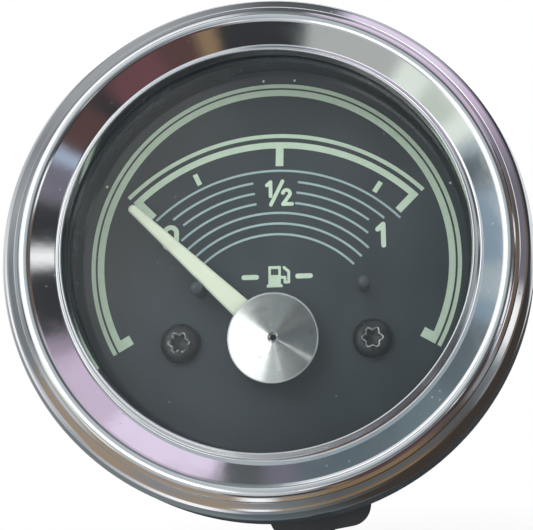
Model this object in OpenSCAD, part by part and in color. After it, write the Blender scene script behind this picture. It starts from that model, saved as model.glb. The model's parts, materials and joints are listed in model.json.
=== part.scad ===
// Round dashboard fuel gauge in a pressed can, with its lamp and its clamp for the panel.
// Every piece is drawn face up: x to the right of the dial, y to its top, and z out of the
// dial towards the driver, with z = 0 where the rubber gasket meets the panel.
// stand_up() then turns it, so that the dial faces -Y and its top points to +Z.

/* [Can] */
// Outside diameter of the can, which goes through the hole in the panel
can_d = 52; // [51:0.25:54]
// Depth of the can behind the panel seat
can_depth = 32; // [31:0.5:44]
// Sheet thickness of the can
can_wall = 0.7; // [0.5:0.05:0.9]
// Rounding of the can's rear corner
can_corner_r = 1.5; // [1:0.1:2.5]
// Width of the flange that stands out from the can's mouth
flange_w = 2.4; // [2:0.1:3]
// Step by which the can's neck is wider under the gasket
neck_step = 0.3; // [0.2:0.05:0.5]

/* [Bezel] */
// Sheet thickness of the bezel
sheet_t = 0.5; // [0.4:0.05:0.6]
// Diameter of the bezel's window
window_d = 45.8; // [45:0.1:46.2]
// Diameter of the bezel's crest
crest_d = 53.8; // [53.2:0.1:54]
// Height of the crest above the groove at its foot
crest_rise = 1.75; // [1.6:0.05:2.2]
// Rounding of the crest
crest_round = 1.5; // [1.3:0.1:1.6]
// Rounding of the shoulder outside the crest
shoulder_round = 2; // [1.8:0.1:2.2]
// How far the shoulder bulges past the bezel's rear edge
bulge = 0.7; // [0.4:0.1:1]
// Height of the small bead round the window
bead_h = 0.95; // [0.8:0.05:1.2]
// Rounding of the small bead
bead_round = 0.42; // [0.35:0.01:0.45]

/* [Glass and seals] */
// Thickness of the panel gasket
gasket_t = 2.4; // [1.5:0.1:3]
// Width of the panel gasket's ring
gasket_w = 4.45; // [4:0.05:5]
// Thickness of the front glass
glass_t = 2; // [1.5:0.1:3]
// Thickness of the seal between the glass and the bezel
seal_t = 0.4; // [0.3:0.05:0.8]
// Thickness of the shade ring's flange
shade_flange_t = 1.3; // [1:0.1:2]
// Inside diameter of the shade ring at the glass
shade_front_d = 46.4; // [46:0.1:47]
// Inside diameter of the shade ring at the dial
shade_back_d = 48.5; // [47.5:0.1:48.8]

/* [Dial] */
// Depth of the dial's face behind the panel seat
dial_drop = 0.5; // [0.3:0.1:1.5]
// Thickness of the dial plate
dial_t = 0.8; // [0.6:0.1:1]
// Thickness of the printed marks
print_t = 0.05; // [0.03:0.01:0.1]
// Distance of the pointer's axis below the dial's centre
pivot_drop = 10; // [9.6:0.1:10.2]
// Distance between the two dial screws
screw_pitch = 22.8; // [22.6:0.1:23.4]
// Diameter of the dial screws' heads
dial_head_d = 4.7; // [4.2:0.1:5]
// Height of the dial screws' heads
dial_head_h = 1.5; // [1.2:0.1:1.8]
// Distance from the shade ring's foot in to the thin outer arc
outer_inset = 2.05; // [1.8:0.05:2.2]
// Distance from the thin outer arc in to the thick one
outer_gap = 0.9; // [0.85:0.05:1.2]
// Angle from the top at which the outer arcs end
outer_end = 120; // [110:1:130]
// Radius of the scale's thin arc, about the pointer's axis
scale_thin_r = 25.6; // [25.4:0.1:26]
// Radius of the scale's thick arc, about the pointer's axis
scale_thick_r = 24.4; // [24:0.1:24.6]
// Angle from upright at which the scale ends
scale_end = 45; // [40:1:48]
// Width of the thin arcs
thin_w = 0.5; // [0.4:0.05:0.6]
// Width of the thick arcs
thick_w = 0.8; // [0.6:0.05:1]
// Radius of the largest of the fine lines
fine_r = 21.1; // [20.9:0.1:21.2]
// Distance from one fine line to the next
fine_pitch = 1.34; // [1.2:0.02:1.4]
// Number of fine lines
fine_count = 7; // [5:1:8]
// Width of the fine lines
fine_w = 0.27; // [0.2:0.01:0.35]
// Angle to each side of the half mark at which the broken fine lines stop
fine_gap = 8; // [6:0.5:10]
// Height of the end numbers
number_h = 3.2; // [2.8:0.1:3.4]
// Stroke width of the numbers
stroke_w = 0.6; // [0.5:0.05:0.7]

/* [Pointer] */
// Length of the pointer from its axis
pointer_l = 23.8; // [22:0.1:24]
// Width of the pointer at its axis
pointer_root_w = 2.9; // [2.5:0.1:3.2]
// Width of the pointer at its tip
pointer_tip_w = 1.1; // [0.8:0.1:1.4]
// Thickness of the pointer
pointer_t = 0.5; // [0.3:0.05:0.6]
// Height of the pointer's top above the dial
pointer_rise = 3; // [2.8:0.1:3.4]
// Angle of the pointer at rest, left of upright
rest_angle = 46.4; // [44:0.1:48]
// Angle of the pointer when the tank is full, right of upright
full_angle = 50.7; // [48:0.1:52]
// Diameter of the turned cap over the pointer's hub
cap_d = 10.6; // [10:0.1:11]
// Thickness of the cap's top
cap_t = 0.9; // [0.6:0.1:1.2]
// Diameter of the spindle
spindle_d = 1; // [0.8:0.1:1.2]
// Diameter of the stop pins
stop_d = 1.5; // [1.2:0.1:1.7]
// Distance of the left stop pin from the pointer's axis
stop_left_r = 11; // [10.4:0.1:11.6]
// Distance of the right stop pin from the pointer's axis
stop_right_r = 12.3; // [11.8:0.1:12.8]

/* [Movement] */
// Width across the coil former
former_w = 12; // [11.8:0.1:12.2]
// Length of the coil former
former_l = 9; // [8.6:0.1:9.6]
// Thickness of each winding
coil_t = 0.9; // [0.7:0.05:0.95]
// Width of each half of a winding
coil_w = 3.2; // [2.8:0.1:3.3]
// Diameter of the rotor magnet
rotor_d = 9; // [8:0.2:9.4]
// Length of the rotor magnet
rotor_l = 4.6; // [4:0.1:5]
// Outside diameter of the magnetic shield
shield_d = 18; // [17.9:0.05:18.2]
// Sheet thickness of the magnetic shield
shield_wall = 0.5; // [0.4:0.05:0.55]
// Diameter of the movement plate
plate_d = 28.8; // [28.4:0.2:29.4]
// Thickness of the movement plate
plate_t = 1.2; // [1:0.1:1.6]
// Diameter of the pillars that carry the dial
pillar_d = 4; // [3.6:0.1:4.2]
// Diameter of the posts between the movement plate and the can
post_d = 4.4; // [4:0.1:4.6]
// Distance of the posts from the pointer's axis
post_r = 12; // [11.6:0.1:12.1]
// Diameter of the small screws
small_screw_d = 2.5; // [2:0.1:2.6]

/* [Back of the can] */
// Turn of the clamp from upright, anticlockwise as the dial is seen
clamp_turn = 9; // [6:1:14]
// Distance between the two mounting studs
stud_pitch = 30; // [29:0.5:31]
// Diameter of the mounting studs
stud_d = 4; // [3:0.1:4.4]
// Length of the studs behind the can
stud_l = 18; // [17.5:0.5:24]
// Distance of the row of terminals from the can's axis
terminal_x = 15; // [14.6:0.1:15.4]
// Distance from one terminal to the next
terminal_pitch = 9; // [8.5:0.1:9.4]
// Width of a blade terminal
blade_w = 6.3; // [4.8:0.1:6.5]
// Thickness of a blade terminal
blade_t = 0.8; // [0.5:0.1:1]
// Length of a blade terminal behind its foot
blade_l = 8; // [6:0.5:10]

/* [Clamp] */
// Width of the clamp's strap
strap_w = 12; // [11:0.5:13]
// Thickness of the clamp's strap
strap_t = 1.5; // [1.2:0.1:2]
// Gap between the can and the clamp's legs
leg_gap = 1.5; // [1.2:0.1:2.5]
// Inside radius of the clamp's bends
bend_r = 1; // [0.8:0.1:1.2]
// Length of the clamp's feet from the legs outwards
foot_l = 3.5; // [3.4:0.1:5]
// Length of the lug on the lower foot, past the foot's edge
lug_l = 3.5; // [2:0.1:4.4]
// Width of the lug on the lower foot
lug_w = 2.4; // [2:0.1:4]
// Room between the gasket and the clamp's feet, for the panel
panel_room = 2.5; // [2.3:0.1:4]
// Gap between the can's back and the clamp's base
base_gap = 4; // [3.6:0.1:6]
// Diameter of the knurled nuts
nut_d = 10; // [8:0.5:11]
// Height of the knurled nuts
nut_h = 5; // [4:0.1:6]
// Diameter of the lock washers
washer_d = 7.6; // [7:0.1:9]
// Thickness of the lock washers
washer_t = 1; // [0.6:0.1:1.2]

/* [Lamp] */
// Distance of the lamp from the can's axis, on the side away from the terminals
lamp_x = 15; // [14.6:0.1:15.4]
// Distance of the lamp above the can's axis, along the clamp
lamp_y = 7; // [5:0.1:7.4]
// Outside diameter of the lamp holder's sleeve
holder_d = 10.6; // [10.4:0.1:11]
// Diameter of the lamp holder's flange
holder_flange_d = 14; // [13:0.1:14.4]
// Diameter of the bulb's metal cap
bulb_cap_d = 9; // [8.4:0.1:9.2]
// Diameter of the bulb's glass
bulb_d = 8.7; // [8:0.1:9]
// Length of the bulb's glass
bulb_l = 15; // [12:0.5:16]

/* [Hidden] */
$fn = 72;

// Clearances
slip = 0.05;        // between a shaft and its bore, on the radius
free = 0.3;         // between pieces that pass each other
loose = 0.15;       // between the small screws and their holes, on the radius
stop_gap = 0.03;    // between the pointer and a stop pin at the end of its travel

// Radii of the can and the bezel
can_r = can_d / 2;
can_in_r = can_r - can_wall;
neck_r = can_r + neck_step;
flange_r = can_r + flange_w;
bezel_in_r = flange_r + 0.4;
bezel_rear_r = bezel_in_r + sheet_t;
equator_r = bezel_rear_r + bulge;
window_r = window_d / 2;
crest_r = crest_d / 2;
groove_r = window_r + 2 * bead_round;
crimp_r = neck_r + 0.7;
glass_r = flange_r - free;

// Heights at the front, from the panel seat towards the driver
crimp_z = gasket_t + sheet_t;
mouth_z = crimp_z + can_wall;
glass_z = mouth_z + shade_flange_t;
seal_z = glass_z + glass_t;
lip_z = seal_z + seal_t;
groove_z = lip_z + sheet_t;
crest_z = groove_z + crest_rise;
bead_z = groove_z + bead_h;

// Heights of the dial and the pointer
dial_z = -dial_drop;
dial_back_z = dial_z - dial_t;
pointer_top_z = dial_z + pointer_rise;
pointer_z = pointer_top_z - pointer_t;
cap_z = pointer_top_z + cap_t;
cap_skirt_h = 2.2;
cap_wall = 0.5;
hub_d = 3.6;
hub_z = dial_z + 0.4;

// Heights of the movement, from the dial towards the back
shield_front_z = dial_back_z - 1.3;
outer_coil_z = shield_front_z - shield_wall - 0.1;
inner_coil_z = outer_coil_z - coil_t;
former_z = inner_coil_z - coil_t;
former_back_z = former_z - former_l;
coil_back_z = former_back_z - 2 * coil_t;
plate_z = coil_back_z - 0.8;
plate_back_z = plate_z - plate_t;
board_t = 1;
board_back_z = plate_back_z - board_t;
chamber_wall = 1.5;
chamber_z = former_z - chamber_wall;
chamber_back_z = former_back_z + chamber_wall;
split_z = (former_z + former_back_z) / 2;
chamber_r = rotor_d / 2 + 0.5;
coil_gap = 1.4;
former_r = shield_d / 2 - shield_wall - 0.6;
bearing_r = coil_gap - 0.1;
bearing_stand = 1.1;
spindle_end_z = chamber_back_z - 1.8;

// Heights at the back of the can
can_back_z = -can_depth;
can_floor_z = can_back_z + can_wall;
insulator_t = 1.2;
insulator_w = 8;
inner_insulator_t = 0.8;
inner_insulator_w = 7;
rivet_r = 1.5;
rivet_head_t = 0.6;
tab_z = can_back_z - insulator_t;
base_z = can_back_z - base_gap;
base_back_z = base_z - strap_t;
washer_back_z = base_back_z - washer_t;
leg_r = can_r + leg_gap;
stud_flange_r = stud_d / 2 + 1.5;
stud_flange_h = 1.5;
small_r = small_screw_d / 2;

// Places on the plan of the dial
pivot = [0, -pivot_drop];
board_w = 15;
peg_x = former_w / 2 - 0.75;
peg_r = 0.65;
pin_r = 0.35;
pin_x = former_w / 2 + 0.4;
pins = [[0, pin_x], [pin_x, 0], [0, -pin_x], [-pin_x, 0]];
resistor_r = 1.3;
resistor_l = 6;
resistor_y = 3;
posts = [for (a = [90, 210, 330]) pivot + post_r * [cos(a), sin(a)]];
pegs = [for (x = [-1, 1], y = [-1, 1]) peg_x * [x, y]];
dial_holes = [[screw_pitch / 2, 0], [-screw_pitch / 2, 0]];
terminals = [for (i = [-1:1]) [terminal_x, i * terminal_pitch]];
studs = [[0, stud_pitch / 2], [0, -stud_pitch / 2]];

// Half width of the pointer at a distance r from its axis
function blade_half(r) = (pointer_root_w + (pointer_tip_w - pointer_root_w) * r / pointer_l) / 2;

// Angle between the pointer and a stop pin that it touches, at a distance r from the axis
function stop_offset(r) = asin((blade_half(r) + stop_d / 2 + stop_gap) / r);

// Angles from upright at which the fine lines end, from the largest to the smallest
fine_ends = [[-44, 46], [-39.5, 42], [-38, 38], [-42.5, 41], [-43, 45.5], [-43.5, 46], [-43, 46]];

// Radii of the outer arcs
outer_thin_r = shade_back_d / 2 - outer_inset;
outer_thick_r = outer_thin_r - outer_gap;

// Angles of the half mark and the quarter marks, clockwise from upright
half_tick_a = 1.3;
quarter_ticks = [-25.5, 33.9];

// Lengths of the marks that point inwards from the arcs, and the widths of the end marks
half_tick_l = 2.7;
half_tick_w = 0.95;
quarter_tick_l = 1.5;
quarter_tick_w = 0.6;
scale_foot_l = 2.8;
scale_foot_w = 0.9;
outer_foot_l = 1.6;
outer_foot_w = 1.2;

// Printed dots outside the thin outer arc: angle from the top and distance from the arc
dots = [[-3.6, 0.75], [6.2, 0.8], [67.6, 1], [-65, 0.8]];
dot_r = 0.15;

// Lower left corners of the numbers, from the dial's centre
nought_x = -13.9;
nought_y = 1.4;
one_x = 12.1;
one_y = 1;
half_x = -1.3;
half_y = 6.6;

// Sizes of the screws' shanks, and of the heads behind the can
dial_screw_l = 5.5;
case_screw_l = 6.5;
case_head_d = 4.6;
case_head_h = 1.4;

// Point at an angle from the top, clockwise, at a distance r
function on_dial(a, r) = r * [sin(a), cos(a)];

// Points along an arc about a centre, from angle a to angle b
function arc(c, r, a, b, steps = 8) = [
    for (i = [0:steps]) c + r * [cos(a + (b - a) * i / steps), sin(a + (b - a) * i / steps)]
];

stops = [
    pivot + on_dial(-rest_angle - stop_offset(stop_left_r), stop_left_r),
    pivot + on_dial(full_angle + stop_offset(stop_right_r), stop_right_r)
];

// Turns a piece that is drawn face up so that the dial faces -Y
module stand_up() {
    rotate([90, 0, 0]) children();
}

// A cylinder between two heights
module post(r, low, high) {
    translate([0, 0, low]) cylinder(r = r, h = high - low);
}

// A flat outline thickened between two heights
module plate(low, high) {
    translate([0, 0, low]) linear_extrude(high - low) children();
}

// Copies a piece to each place of a list
module at(places) {
    for (p = places) translate(p) children();
}

// A slice of a disc between two angles from the top
module slice(r, a, b, steps = 8) {
    polygon(concat([[0, 0]], [for (i = [0:steps]) on_dial(a + (b - a) * i / steps, r)]));
}

// A printed band round the origin
module band(r, w, a, b) {
    intersection() {
        difference() {
            circle(r + w / 2);
            circle(r - w / 2);
        }
        slice(r * 1.5, a, b);
    }
}

// A printed stroke with round ends
module stroke(p, q, w) {
    d = q - p;
    translate(p) {
        circle(d = w);
        rotate(atan2(d[1], d[0])) translate([0, -w / 2]) square([norm(d), w]);
    }
    translate(q) circle(d = w);
}

// A printed foot of length l and width w that points inwards from a thick arc
module foot(a, r, l, w) {
    rotate(-a) translate([a > 0 ? -w : 0, r - l]) square([w, l]);
}

// A wire with round corners along a list of points
module wire(points, r) {
    for (i = [1:len(points) - 1]) {
        d = points[i] - points[i - 1];
        translate(points[i - 1])
            rotate([0, acos(d[2] / norm(d)), atan2(d[1], d[0])])
                cylinder(r = r, h = norm(d));
    }
    for (i = [1:len(points) - 2]) translate(points[i]) sphere(r = 1.03 * r);
}

module bezel() {
    shoulder = [equator_r - shoulder_round, seal_z];
    crest = [crest_r, crest_z - crest_round];
    bead = [window_r + bead_round, bead_z - bead_round];
    slope = [groove_r, groove_z] - crest;
    slope_start = 360 + atan2(slope[1], slope[0]) - acos(crest_round / norm(slope));
    outside = concat(
        [[crimp_r, gasket_t]],
        arc([bezel_rear_r - sheet_t, crimp_z], sheet_t, -90, 0, 4),
        arc(shoulder, shoulder_round, 0, 55),
        arc(crest, crest_round, 25, slope_start, 12),
        [[groove_r, groove_z]],
        arc(bead, bead_round, 0, 180)
    );
    inside = concat(
        [[window_r, lip_z], [groove_r + 0.35, lip_z]],
        arc(crest, crest_round - sheet_t, slope_start, 25, 12),
        arc(shoulder, shoulder_round - sheet_t, 55, 0),
        [[bezel_in_r, crimp_z], [crimp_r, crimp_z]]
    );
    color("gainsboro") rotate_extrude() polygon(concat(outside, inside));
}

module front_glass() {
    color("azure", 0.25) post(glass_r, glass_z, seal_z);
}

module glass_seal() {
    color("dimgray") difference() {
        post(groove_r + 0.3, seal_z, lip_z);
        post(window_r + 0.1, seal_z - 1, lip_z + 1);
    }
}

module shade_ring() {
    tube_r = can_in_r - 0.2;
    color([0.06, 0.07, 0.08]) rotate_extrude() polygon([
        [shade_back_d / 2, dial_z],
        [tube_r, dial_z],
        [tube_r, mouth_z],
        [glass_r, mouth_z],
        [glass_r, glass_z],
        [shade_front_d / 2, glass_z]
    ]);
}

module panel_gasket() {
    color([0.12, 0.13, 0.14]) difference() {
        post(neck_r + slip + gasket_w, 0, gasket_t);
        post(neck_r + slip, -1, gasket_t + 1);
    }
}

module gauge_can() {
    in_corner = can_corner_r - can_wall;
    color([0.55, 0.56, 0.55]) difference() {
        rotate_extrude() polygon(concat(
            [[0, can_back_z]],
            arc([can_r - can_corner_r, can_back_z + can_corner_r], can_corner_r, -90, 0),
            [[can_r, 0], [neck_r, 0], [neck_r, crimp_z], [flange_r, crimp_z]],
            [[flange_r, mouth_z], [can_in_r, mouth_z]],
            arc([can_in_r - in_corner, can_floor_z + in_corner], in_corner, 0, -90),
            [[0, can_floor_z]]
        ));
        translate([0, 0, can_back_z - 1]) {
            at(posts) cylinder(r = small_r + loose, h = can_wall + 2);
            rotate(clamp_turn) {
                at(terminals) cylinder(r = rivet_r + 0.7, h = can_wall + 2);
                at(studs) cylinder(r = stud_d / 2 + slip, h = can_wall + 2);
                translate([-lamp_x, lamp_y]) cylinder(r = holder_d / 2 + loose, h = can_wall + 2);
            }
        }
    }
}

module dial_plate() {
    color([0.09, 0.1, 0.11]) plate(dial_back_z, dial_z) difference() {
        circle(can_in_r - 0.4);
        translate(pivot) {
            circle(hub_d / 2 - 0.2);
            at(dial_holes) circle(small_r + loose);
        }
        at(stops) circle(stop_d / 2 - 0.2 + slip);
    }
}

module dial_outer_arcs() {
    color([0.82, 0.89, 0.81]) plate(dial_z, dial_z + print_t) {
        band(outer_thin_r, thin_w, -outer_end, outer_end);
        band(outer_thick_r, thick_w, -outer_end, outer_end);
        for (s = [-1, 1]) foot(s * outer_end, outer_thick_r, outer_foot_l, outer_foot_w);
        for (d = dots) translate(on_dial(d[0], outer_thin_r + d[1])) circle(dot_r);
    }
}

module dial_scale() {
    tick_r = scale_thick_r - half_tick_l;
    color([0.82, 0.89, 0.81]) plate(dial_z, dial_z + print_t) translate(pivot) {
        band(scale_thin_r, thin_w, -scale_end, scale_end);
        band(scale_thick_r, thick_w, -scale_end, scale_end);
        for (s = [-1, 1]) foot(s * scale_end, scale_thick_r, scale_foot_l, scale_foot_w);
        rotate(-half_tick_a) translate([-half_tick_w / 2, tick_r]) square([half_tick_w, half_tick_l]);
        for (a = quarter_ticks) rotate(-a)
            translate([-quarter_tick_w / 2, tick_r]) square([quarter_tick_w, quarter_tick_l]);
    }
}

module dial_fine_lines() {
    color([0.66, 0.74, 0.76]) plate(dial_z, dial_z + print_t) translate(pivot) {
        for (i = [0:fine_count - 1]) {
            r = fine_r - i * fine_pitch;
            ends = fine_ends[min(i, len(fine_ends) - 1)];
            if (i >= 1 && i <= 3) {
                band(r, fine_w, ends[0], -fine_gap);
                band(r, fine_w, fine_gap, ends[1]);
            } else {
                band(r, fine_w, ends[0], ends[1]);
            }
        }
    }
}

// An upright numeral one of height h, its lower left corner at the origin
module numeral_one(h, w) {
    stroke([0.3 * h, w / 2], [0.3 * h, h - w / 2], w);
    stroke([0.3 * h, h - w / 2], [w / 2, 0.72 * h], w);
}

// A numeral two of height h, its lower left corner at the origin
module numeral_two(h, w) {
    r = 0.3 * h - w / 2;
    c = [0.3 * h, h - 0.3 * h];
    translate(c) band(r, w, -80, 120);
    translate(c + on_dial(-80, r)) circle(d = w);
    stroke(c + on_dial(120, r), [w / 2, w / 2], w);
    stroke([w / 2, w / 2], [0.6 * h, w / 2], w);
}

// A numeral nought of height h, its lower left corner at the origin
module numeral_nought(h, w) {
    r = 0.32 * h;
    difference() {
        union() {
            at([[r, r], [r, h - r]]) circle(r);
            translate([0, r]) square([2 * r, h - 2 * r]);
        }
        at([[r, r], [r, h - r]]) circle(r - w);
        translate([w, r]) square([2 * r - 2 * w, h - 2 * r]);
    }
}

module dial_numbers() {
    half_h = 0.7 * number_h;
    half_w = 0.75 * stroke_w;
    color([0.82, 0.89, 0.81]) plate(dial_z, dial_z + print_t) {
        translate([nought_x, nought_y]) numeral_nought(number_h, stroke_w);
        translate([one_x, one_y]) numeral_one(number_h, stroke_w);
        translate([half_x, half_y]) {
            translate([0, 0.33 * number_h]) numeral_one(half_h, half_w);
            stroke([0.22, 0.06] * number_h, [0.67, 0.98] * number_h, half_w);
            translate([0.61 * number_h, 0]) numeral_two(half_h, half_w);
        }
    }
}

module dial_pump_mark() {
    w = 0.34;
    color([0.82, 0.89, 0.81]) plate(dial_z, dial_z + print_t) translate([0.1, -3.5]) {
        translate([-1.25, 0]) square([1.9, 0.35]);
        difference() {
            translate([-1.05, 0.3]) square([1.5, 2.3]);
            translate([-0.75, 1.5]) square([0.9, 0.75]);
        }
        stroke([0.45, 1.2], [0.95, 1.2], w);
        stroke([0.95, 1.2], [0.95, 0.6], w);
        stroke([0.95, 0.6], [1.4, 0.6], w);
        stroke([1.4, 0.6], [1.4, 1.9], w);
        stroke([1.4, 1.9], [0.85, 2.4], w);
        for (s = [-1, 1]) stroke([s * 2.5, 1.3], [s * 4, 1.3], stroke_w);
    }
}

// A small pan-head screw with its head's seat at z = 0 and its shank going down
module small_screw(head_d, head_h, l, lobes) {
    difference() {
        union() {
            cylinder(r1 = head_d / 2, r2 = head_d / 2 - 0.35 * head_h, h = head_h);
            post(small_r, -l, 0.1);
        }
        translate([0, 0, 0.4 * head_h]) if (lobes) {
            cylinder(r = 0.8, h = head_h);
            for (a = [0:60:300]) rotate(a) translate([0.85, 0]) cylinder(r = 0.27, h = head_h);
        } else {
            translate([-head_d / 2, -0.3, 0.2]) cube([head_d, 0.6, head_h]);
        }
    }
}

module dial_screws() {
    color([0.1, 0.11, 0.12]) translate([0, -pivot_drop, dial_z]) at(dial_holes)
        small_screw(dial_head_d, dial_head_h, dial_screw_l, true);
}

module stop_pins() {
    color([0.08, 0.08, 0.09]) at(stops) {
        post(stop_d / 2 - 0.2, dial_back_z, dial_z + 0.1);
        post(stop_d / 2, dial_z, pointer_top_z);
        translate([0, 0, pointer_top_z]) intersection() {
            sphere(stop_d / 2);
            cylinder(r = stop_d, h = stop_d);
        }
    }
}

// Places a piece of the pointer, drawn with the pointer upright, at rest on its axis
module on_pointer() {
    translate(pivot) rotate(rest_angle) children();
}

module pointer_blade() {
    tip_r = pointer_tip_w / 2;
    tail = 4;
    color([0.87, 0.91, 0.82]) on_pointer() plate(pointer_z, pointer_top_z) difference() {
        union() {
            polygon([
                [-pointer_root_w / 2, -tail],
                [pointer_root_w / 2, -tail],
                [pointer_root_w / 2, 0],
                [tip_r, pointer_l - tip_r],
                [-tip_r, pointer_l - tip_r],
                [-pointer_root_w / 2, 0]
            ]);
            translate([0, pointer_l - tip_r]) circle(tip_r);
        }
        circle(spindle_d / 2);
    }
}

module pointer_hub() {
    color("silver") on_pointer() difference() {
        post(hub_d / 2, hub_z, pointer_z);
        post(spindle_d / 2, hub_z - 1, pointer_z + 1);
    }
}

module pointer_cap() {
    color("gainsboro") on_pointer() difference() {
        post(cap_d / 2, cap_z - cap_skirt_h, cap_z);
        post(cap_d / 2 - cap_wall, cap_z - cap_skirt_h - 1, pointer_top_z);
        post(0.35, pointer_top_z - 1, cap_z + 1);
        translate([-pointer_root_w / 2 - 0.1, 0, cap_z - cap_skirt_h - 1])
            cube([pointer_root_w + 0.2, cap_d, pointer_top_z - cap_z + cap_skirt_h + 1]);
    }
}

module pointer_spindle() {
    color("silver") on_pointer() post(spindle_d / 2, spindle_end_z, pointer_top_z);
}

module pointer_counterweight() {
    in_r = hub_d / 2 + 0.2;
    out_r = cap_d / 2 - cap_wall - 0.2;
    color("goldenrod") on_pointer() plate(pointer_z - 2, pointer_z)
        band((in_r + out_r) / 2, out_r - in_r, 138, 222);
}

module rotor_magnet() {
    mid_z = (chamber_z + chamber_back_z) / 2;
    color([0.2, 0.2, 0.22]) on_pointer() difference() {
        post(rotor_d / 2, mid_z - rotor_l / 2, mid_z + rotor_l / 2);
        post(spindle_d / 2, mid_z - rotor_l, mid_z + rotor_l);
    }
}

// One half of the coil former between two heights, with its share of the rotor's chamber
module former_half(low, high) {
    translate(pivot) difference() {
        intersection() {
            translate([-former_w / 2, -former_w / 2, low]) cube([former_w, former_w, high - low]);
            post(former_r, low, high);
        }
        post(chamber_r, chamber_back_z, chamber_z);
        post(bearing_r, former_back_z - 1, former_z + 1);
        translate([peg_x - 0.5, peg_x - 0.5]) post(0.95, split_z, former_z + 1);
    }
}

module former_front() {
    color([0.85, 0.83, 0.76]) former_half(split_z, former_z);
}

module former_rear() {
    color([0.85, 0.83, 0.76]) {
        former_half(former_back_z, split_z);
        translate(pivot) at(pegs) post(peg_r, board_back_z, former_back_z + 0.1);
    }
}

// The two halves of a winding that runs round the former from left to right
module winding(front_z, half_w) {
    l = former_l + 2 * (front_z - former_z);
    for (s = [0, 1]) mirror([0, s, 0]) translate([0, coil_gap]) rotate([-90, 0, 0])
        linear_extrude(coil_w) difference() {
            translate([-half_w - coil_t, -front_z]) square([2 * half_w + 2 * coil_t, l]);
            translate([-half_w, -front_z + coil_t]) square([2 * half_w, l - 2 * coil_t]);
        }
}

module inner_coil() {
    color([0.72, 0.4, 0.2]) translate(pivot) winding(inner_coil_z, former_w / 2);
}

module outer_coil() {
    color([0.66, 0.34, 0.16]) translate(pivot) rotate(90) winding(outer_coil_z, former_w / 2);
}

module front_bearing() {
    color("goldenrod") translate(pivot) difference() {
        post(bearing_r, chamber_z, former_z + bearing_stand);
        post(spindle_d / 2 + slip, chamber_z - 1, former_z + bearing_stand + 1);
    }
}

module rear_bearing() {
    color("goldenrod") translate(pivot) difference() {
        post(bearing_r, former_back_z - bearing_stand, chamber_back_z);
        post(spindle_d / 2 + slip, spindle_end_z - 0.05, chamber_back_z + 1);
    }
}

module zero_magnet() {
    color([0.3, 0.3, 0.32]) translate(pivot) translate([peg_x - 0.5, peg_x - 0.5])
        post(0.9, split_z, former_z);
}

module magnetic_shield() {
    color([0.62, 0.6, 0.56]) translate(pivot) difference() {
        post(shield_d / 2, plate_z, shield_front_z);
        post(shield_d / 2 - shield_wall, plate_z - 1, shield_front_z - shield_wall);
        post(bearing_r + 0.9, plate_z, shield_front_z + 1);
    }
}

module movement_plate() {
    color([0.7, 0.7, 0.68]) plate(plate_back_z, plate_z) difference() {
        intersection() {
            translate(pivot) circle(plate_d / 2);
            circle(can_in_r - 0.4);
        }
        translate(pivot) {
            at(dial_holes) circle(pillar_d / 4 + slip);
            at(pegs) circle(peg_r + slip);
            at(pins) circle(0.8);
        }
        at(posts) circle(post_d / 4 + slip);
    }
}

module dial_pillars() {
    color("goldenrod") translate(pivot) at(dial_holes) difference() {
        union() {
            post(pillar_d / 2, plate_z, dial_back_z);
            post(pillar_d / 4, plate_back_z - 0.3, plate_z);
        }
        post(small_r + slip, dial_z - dial_screw_l - free, dial_back_z + 1);
    }
}

module plate_posts() {
    color([0.72, 0.72, 0.7]) at(posts) difference() {
        union() {
            post(post_d / 2, can_floor_z, plate_back_z);
            post(post_d / 4, plate_back_z, plate_z + 0.3);
        }
        post(small_r + slip, can_floor_z - 1, can_back_z + case_screw_l + free);
    }
}

module case_screws() {
    color([0.6, 0.6, 0.58]) at(posts) translate([0, 0, can_back_z]) mirror([0, 0, 1])
        small_screw(case_head_d, case_head_h, case_screw_l, false);
}

module circuit_board() {
    color([0.62, 0.45, 0.25]) plate(board_back_z, plate_back_z) translate(pivot) difference() {
        square(board_w, center = true);
        at(pegs) circle(peg_r + slip);
        at(pins) circle(pin_r + slip);
    }
}

module coil_pins() {
    color("goldenrod") translate(pivot) at(pins) post(pin_r, board_back_z - 1, former_back_z - 0.5);
}

module ballast_resistor() {
    z = board_back_z - resistor_r;
    half_l = resistor_l / 2;
    bend_x = half_l + 1;
    color([0.45, 0.35, 0.28]) translate(pivot + [0, resistor_y]) {
        translate([-half_l, 0, z]) rotate([0, 90, 0]) cylinder(r = resistor_r, h = resistor_l);
        for (s = [-1, 1])
            wire([[s * (half_l - 0.1), 0, z], [s * bend_x, 0, z], [s * bend_x, 0, board_back_z]], 0.3);
    }
}

module link_wires() {
    rivet_z = can_floor_z + inner_insulator_t + rivet_head_t;
    turned = [for (p = terminals) [
        p[0] * cos(clamp_turn) - p[1] * sin(clamp_turn),
        p[0] * sin(clamp_turn) + p[1] * cos(clamp_turn)
    ]];
    ends = [pins[2], pins[1], pins[0]];
    color([0.75, 0.2, 0.15]) for (i = [0:2]) wire([
        [turned[i][0], turned[i][1], rivet_z],
        [turned[i][0], turned[i][1], rivet_z + 3],
        [pivot[0] + ends[i][0], pivot[1] + ends[i][1], board_back_z - 5],
        [pivot[0] + ends[i][0], pivot[1] + ends[i][1], board_back_z - 1]
    ], 0.6);
}

// A strip under the three terminals, between two heights
module terminal_strip(w, low, high) {
    rotate(clamp_turn) plate(low, high) difference() {
        translate([terminal_x - w / 2, -1.5 * terminal_pitch]) square([w, 3 * terminal_pitch]);
        at(terminals) circle(rivet_r + slip);
    }
}

module terminal_insulator() {
    color([0.25, 0.15, 0.08]) terminal_strip(insulator_w, tab_z, can_back_z);
}

module inner_insulator() {
    color([0.25, 0.15, 0.08]) terminal_strip(inner_insulator_w, can_floor_z, can_floor_z + inner_insulator_t);
}

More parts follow.
